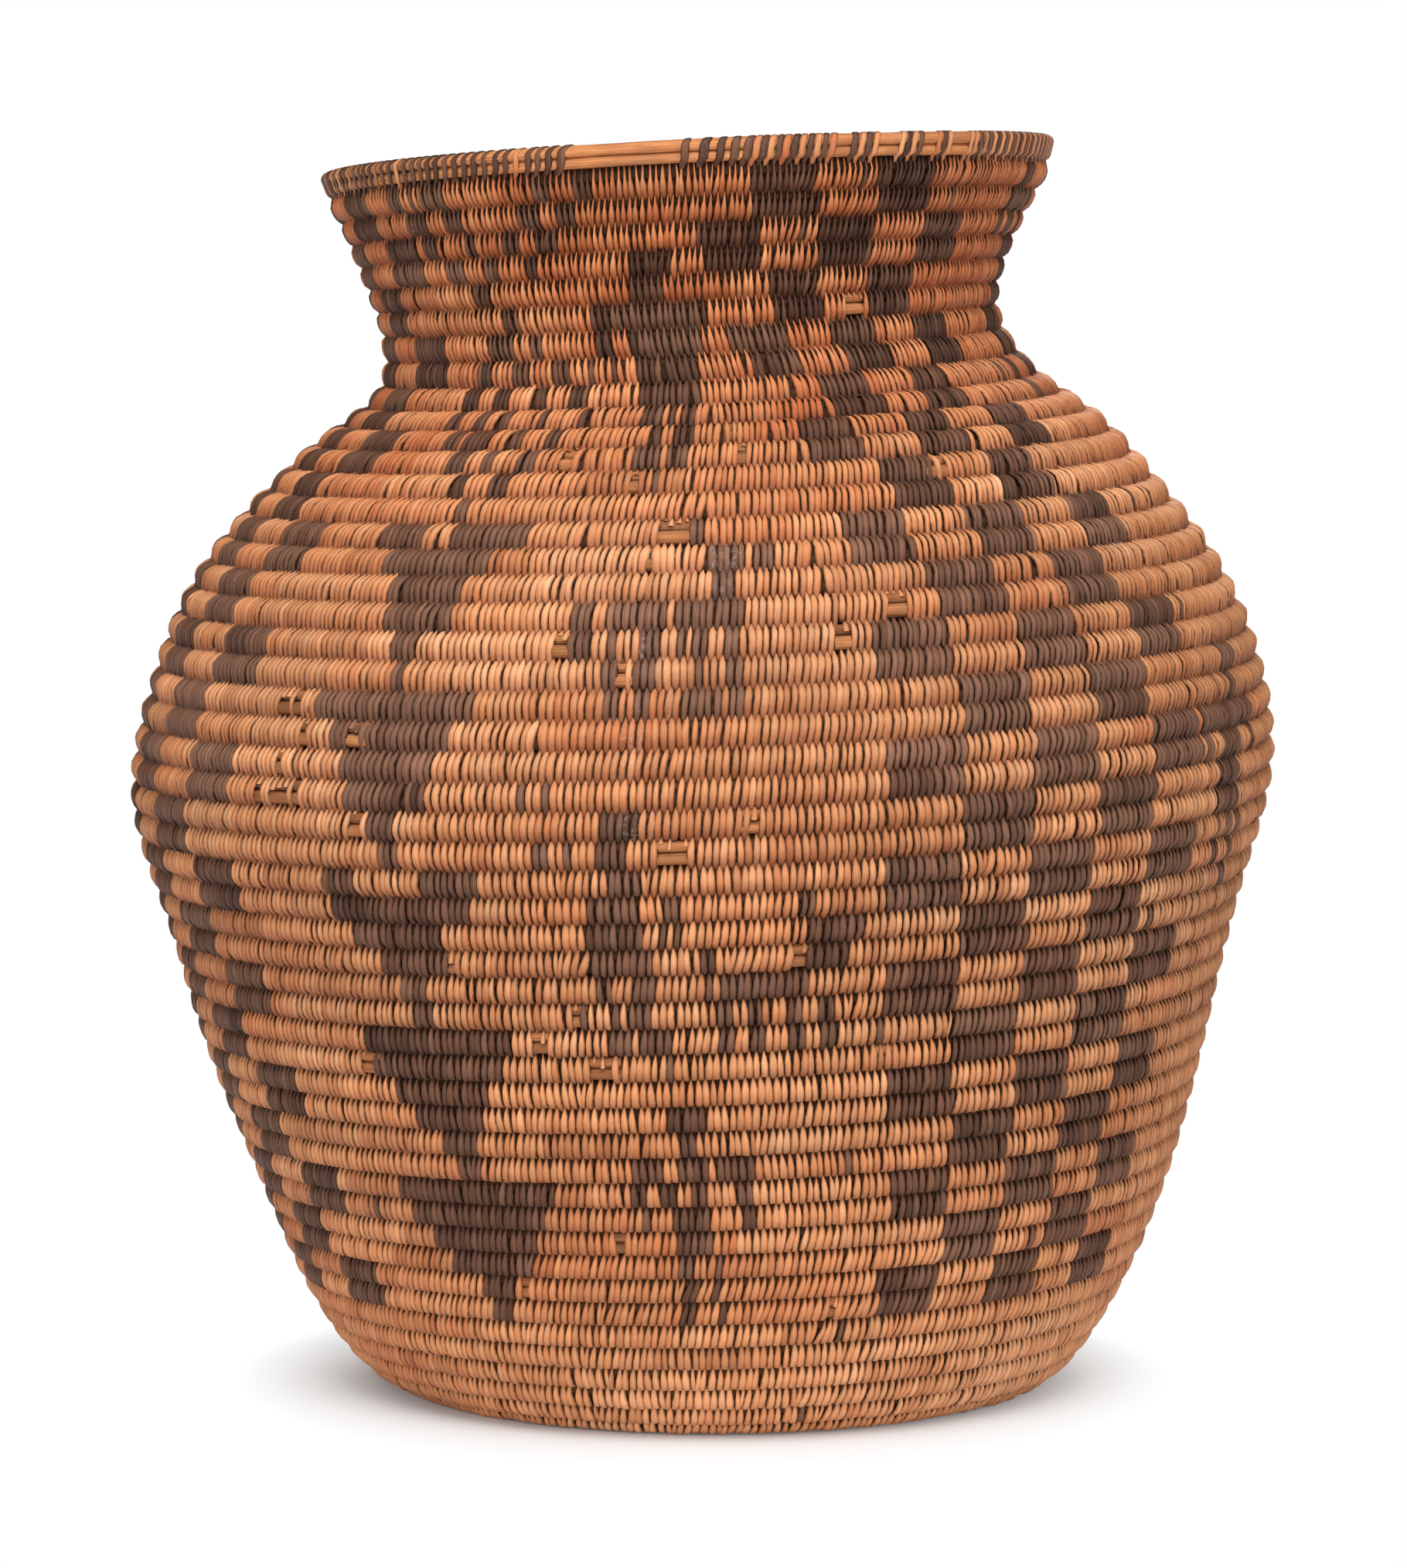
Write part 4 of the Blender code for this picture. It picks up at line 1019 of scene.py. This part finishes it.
# The rim: three rods in a bunch, and the splints lashed round them
rim = {
    "firstTurn": 0.5, "lastTurn": 1.4643, "rodDiameter": 0.0027, "gap": 0.0003, "splint": 0.0004,
    "setBack": 0.0004, "endShare": 0.45, "taperLength": 0.0850, "radius": 0.0931, "stouter": 0.00016,
    "wrap": 0.00030, "rings": 361, "sides": 14, "waver": ((0.03, 61), (0.02, 163)), "sway": (0.00008, 40),
    "frameStep": 0.0016, "grainAlong": 40, "shiftStep": 0.13,
}
rimRods = (  # piece, node, and how many rods up and how many behind
    ("rimRodLower", "rim_rod_lower", 0.0, 0.0),
    ("rimRodUpper", "rim_rod_upper", 1.0, 0.0),
    ("rimRodInner", "rim_rod_inner", 0.5, 1.0),
)


def unit(vectors):
    return vectors / np.linalg.norm(vectors, axis=-1, keepdims=True)


def rimFrame(turns):
    # Seat of the bunch on the last course, and its unit directions up the wall and outwards
    angle = 2 * math.pi * turns
    arc = grooveArc(turns - 1)
    step = rim["frameStep"]
    seat = place(arc, 0.0 * arc, angle)
    upward = place(arc + step, 0.0 * arc, angle) - seat
    outward = place(arc, step + 0.0 * arc, angle) - seat
    return seat, unit(upward), unit(outward)


def rodSize(turns):
    # Diameter, thinner over the last stretch before the scarfed end
    left = (rim["lastTurn"] - turns) * 2 * math.pi * rim["radius"]
    share = np.clip(left / rim["taperLength"], 0, 1)
    return rim["rodDiameter"] * (rim["endShare"] + (1 - rim["endShare"]) * share)


def rodCentre(turns, level, behind):
    # Height above the seat, and how far proud of it
    size = rodSize(turns)
    pitch = size + rim["gap"]
    up = 2 * rim["gap"] + rim["splint"] + size / 2 + level * pitch
    return up, -rim["setBack"] - behind * pitch * math.cos(math.radians(30))


def rimRod(name, node, level, behind, seed):
    # A tube with a slightly uneven radius, carried once round the mouth
    turns = np.linspace(rim["firstTurn"], rim["lastTurn"], rim["rings"])
    seat, upward, outward = rimFrame(turns)
    up, out = rodCentre(turns, level, behind)
    theta = np.linspace(0, 2 * math.pi, rim["sides"], endpoint=False)
    wave = 1
    for number, (depth, quick) in enumerate(rim["waver"], start=1):
        wave = wave + depth * np.sin(turns * quick + number * seed)
    radius = (rodSize(turns) / 2 + rim["stouter"]) * wave
    sway, swayQuick = rim["sway"]
    out = out + sway * np.sin(turns * swayQuick + seed)
    centre = seat + upward * up[:, None] + outward * out[:, None]
    ring = upward[:, None] * np.sin(theta)[:, None] + outward[:, None] * np.cos(theta)[:, None]
    points = centre[:, None] + ring * radius[:, None, None]
    uv = (np.abs(theta / math.pi - 1), turns[:, None] * rim["grainAlong"])
    makePiece(name, points, tubeFaces(1, len(turns), rim["sides"], turned=True), bareRod, uv,
              {"shift": seed * rim["shiftStep"], "shadeAndTone": 0.0}, (node,))


for seed, rod in enumerate(rimRods, start=1):
    rimRod(*rod, seed)

lashing = {  # places in degrees, half widths in metres
    "seed": 23, "first": -178.0, "last": 165,
    "bare": ((23.4, 25.4), (30.2, 34.0), (38.8, 40.6), (45.4, 48.2), (88, 90), (121, 124), (-96, -93),
             (-141, -139)),
    "sparse": (-84, -19.0, 9.8, 10.6),  # mostly dark from the first to the second, broken to the third
    "lightAt": -27, "lightNear": 1.0, "lightBefore": -44, "lightShare": 0.28, "sparseStep": (1.55, 2.05),
    "sparseHalf": (0.00076, 0.00100), "half": (0.00078, 0.00100), "step": (1.10, 1.30), "repeat": 0.03,
    "kept": ((-18.9, 0.0008), (-0.1, 0.0010), (2.7, 0.0012), (5.2, 0.0010), (7.4, 0.0011), (9.3, 0.0011)),
}
wrapShape = {
    "seed": 29,
    "around": (-58, -30, -4, 22, 48, 72, 96, 120, 146, 172, 198, 224, 248),
    "firstEnds": ((-0.0008, 0.00035), (-0.0003, 0.00085)),
    "lastEnds": ((-0.0004, -0.0056), (-0.0012, -0.0052)),
    "endWidths": (0.12, 0.62, 0.7, 0.15),
    "across": (-1.0, -0.62, 0.0, 0.62, 1.0),
    "leanTurn": 0.99, "leans": (0.0018, 0.0012), "leanSpread": 0.00014, "drop": 0.00030,
    "leanRow": 8, "leanShares": (-1.0, 1.0, 2.0),
    "uvAlong": (0.04, 1.9),
}
wrapLooks = {
    # The last look is the wraps' share of painted shade
    "warm": (0.62, 0.16), "tone": (0.5, 0.2), "dust": 0.15, "browned": 0.1, "brown": 0.4, "paintedShadeShare": 0.6,
}


def wrapPlaces():
    # Degrees round the rim, dark or light, and half the width, from the back by the left to the back again
    random = np.random.default_rng(lashing["seed"])
    sparseFirst, brokenFirst, brokenLast, goOn = lashing["sparse"]
    places = []
    at = lashing["first"]
    darkNext = True
    while at < lashing["last"]:
        if brokenFirst < at < brokenLast:
            at = goOn
            darkNext = False
        if sparseFirst < at < brokenFirst:
            light = abs(at - lashing["lightAt"]) < lashing["lightNear"] or (
                at < lashing["lightBefore"] and random.random() < lashing["lightShare"])
            places.append((at, not light, random.uniform(*lashing["sparseHalf"])))
            at += random.uniform(*lashing["sparseStep"])
            continue
        if not any(first < at < last for first, last in lashing["bare"]):
            places.append((at, darkNext, random.uniform(*lashing["half"])))
        darkNext = not darkNext if random.random() > lashing["repeat"] else darkNext
        at += random.uniform(*lashing["step"])
    return places + [(spot, True, half) for spot, half in lashing["kept"]]


def wrapSurface(places):
    # A band round the bunch: its path touches each rod in turn, its two ends run down between the stitches
    # below, and it leans more and more along the rim
    random = np.random.default_rng(wrapShape["seed"])
    turns = 1 + np.array([at for at, isDark, half in places]) / 360
    half = np.array([half for at, isDark, half in places])
    count = len(turns)
    around = np.radians(wrapShape["around"])
    centres = np.stack([np.stack(rodCentre(turns, *rod[2:]), axis=-1) for rod in rimRods], axis=1)
    clear = rodSize(turns) / 2 + rim["stouter"] + rim["wrap"]
    direction = np.stack((np.sin(around), np.cos(around)), axis=-1)
    touching = np.argmax(np.einsum("nkc,rc->nrk", centres, direction), axis=-1)
    path = np.take_along_axis(centres, touching[:, :, None].repeat(2, axis=2), axis=1)
    path = path + direction[None] * clear[:, None, None]
    firstEnds, lastEnds = (
        np.broadcast_to(wrapShape[key], (count, 2, 2)) for key in ("firstEnds", "lastEnds"))
    path = np.concatenate((firstEnds, path, lastEnds), axis=1)
    rows = path.shape[1]
    endWidths = wrapShape["endWidths"]
    width = np.concatenate((endWidths[:2], np.full(rows - 4, 1.0), endWidths[2:]))
    w = np.array(wrapShape["across"])
    lean = np.where(turns < wrapShape["leanTurn"], *wrapShape["leans"])
    lean = lean + random.normal(0, wrapShape["leanSpread"], count)
    leanRows = (0, wrapShape["leanRow"], rows - 1)
    lean = lean[:, None] * np.interp(np.arange(rows), leanRows, wrapShape["leanShares"])
    sideways = lean[:, :, None] + w * width[None, :, None] * half[:, None, None]
    offset = sideways / rim["radius"] / (2 * math.pi)
    seat, upward, outward = rimFrame(turns[:, None, None] + offset)
    away = unit(path - path.mean(axis=1, keepdims=True))
    up, out = np.moveaxis(path[:, :, None] - away[:, :, None] * (wrapShape["drop"] * w ** 4)[:, None], -1, 0)
    points = seat + upward * up[..., None] + outward * out[..., None]
    return points, (0.5 + 0.5 * w, np.linspace(*wrapShape["uvAlong"], rows)[:, None])


def wrapPiece(name, places, material, nodes, seed):
    # The wraps of one colour, each with its own warmth, tone, dust and stain
    random = np.random.default_rng(seed)
    points, uv = wrapSurface(places)
    count = len(places)
    looks = {"warm": np.clip(random.normal(*wrapLooks["warm"], count), 0, 1),
             "tone": np.clip(random.normal(*wrapLooks["tone"], count), 0, 1),
             "shift": random.random(count), "dust": random.random(count) * wrapLooks["dust"],
             "brown": (random.random(count) < wrapLooks["browned"]) * wrapLooks["brown"],
             "paintedShadeShare": np.full(count, wrapLooks["paintedShadeShare"])}
    looks = {key: values[:, None, None] for key, values in looks.items()}
    makePiece(name, points, gridFaces(*points.shape[:-1]), material, uv, looks, nodes)


wraps = wrapPlaces()
wrapPiece("rimWrapsDark", [wrap for wrap in wraps if wrap[1]], darkSplint,
          ("left_dark_lashing", "right_dark_lashing"), 31)
wrapPiece("rimWrapsLight", [wrap for wrap in wraps if not wrap[1]], lightSplint,
          ("left_light_lashing", "right_light_lashing"), 37)
print("rim lashed:", len(wraps), "wraps")

# Floor and light
stage = {
    "floorReach": 30.0, "floorColour": (0.90, 0.90, 0.90), "white": (1.0, 1.0, 1.0),
    "whiteFrom": 0.080, "whiteTo": 0.124, "ambient": 0.20, "backdrop": 1.0,
}
floorMesh = bpy.data.meshes.new("floor")
far = stage["floorReach"]
floorMesh.from_pydata([(-far, -far, 0), (far, -far, 0), (far, far, 0), (-far, far, 0)], [], [(0, 1, 2, 3)])
floor = addObject("floor", floorMesh)
floorMaterial, tree = newMaterial("floor")
tree.nodes.clear()
diffuse = addNode(tree, "BsdfDiffuse", {"Color": stage["floorColour"]})
white = addNode(tree, "Emission", {"Color": stage["white"]})
length = addNode(tree, "VectorMath", {0: objectNode(tree)}, operation="LENGTH").outputs["Value"]
share = rangeNode(tree, length, stage["whiteFrom"], stage["whiteTo"], 0.0, 1.0)
rays = addNode(tree, "LightPath", {}).outputs
seen = mathNode(tree, "MAXIMUM", rays["Is Camera Ray"], rays["Is Glossy Ray"])
surface = addNode(tree, "MixShader", {
    0: mathNode(tree, "MULTIPLY", share, seen), 1: diffuse.outputs[0], 2: white.outputs[0]})
addNode(tree, "OutputMaterial", {"Surface": surface.outputs[0]})
floorMesh.materials.append(floorMaterial)

world = bpy.data.worlds.new("studio")
bpy.context.scene.world = world
world.use_nodes = True
tree = world.node_tree
tree.nodes.clear()
ambient = addNode(tree, "Background", {"Color": stage["white"], "Strength": stage["ambient"]})
backdrop = addNode(tree, "Background", {"Color": stage["white"], "Strength": stage["backdrop"]})
rays = addNode(tree, "LightPath", {}).outputs
surface = addNode(tree, "MixShader", {
    0: rays["Is Camera Ray"], 1: ambient.outputs[0], 2: backdrop.outputs[0]})
addNode(tree, "OutputWorld", {"Surface": surface.outputs[0]})

lamps = {  # place, aim, size, watts
    "overhead": ((0.05, -0.95, 1.40), (0.0, 0.0, 0.16), 1.1, 21.4),
    "frontLeft": ((-1.2, -1.6, 0.60), (0.0, 0.0, 0.15), 0.9, 8.4),
    "frontRight": ((1.2, -1.6, 0.65), (0.0, 0.0, 0.15), 0.9, 7.5),
    "frontLow": ((-0.1, -1.7, 0.15), (0.0, 0.0, 0.05), 0.7, 5.8),
    "back": ((0.2, 1.9, 0.90), (0.0, 0.0, 0.15), 1.0, 14.0),
}
for name, (spot, aim, size, watts) in lamps.items():
    lamp = addObject(name, bpy.data.lights.new(name, "AREA"))
    lamp.data.shape = "DISK"
    lamp.data.size = size
    lamp.data.energy = watts
    lamp.location = spot
    x, y, z = np.array(aim) - np.array(spot)
    lamp.rotation_euler = (math.atan2(math.hypot(x, y), -z), 0, math.atan2(-x, y))
print("stage set")
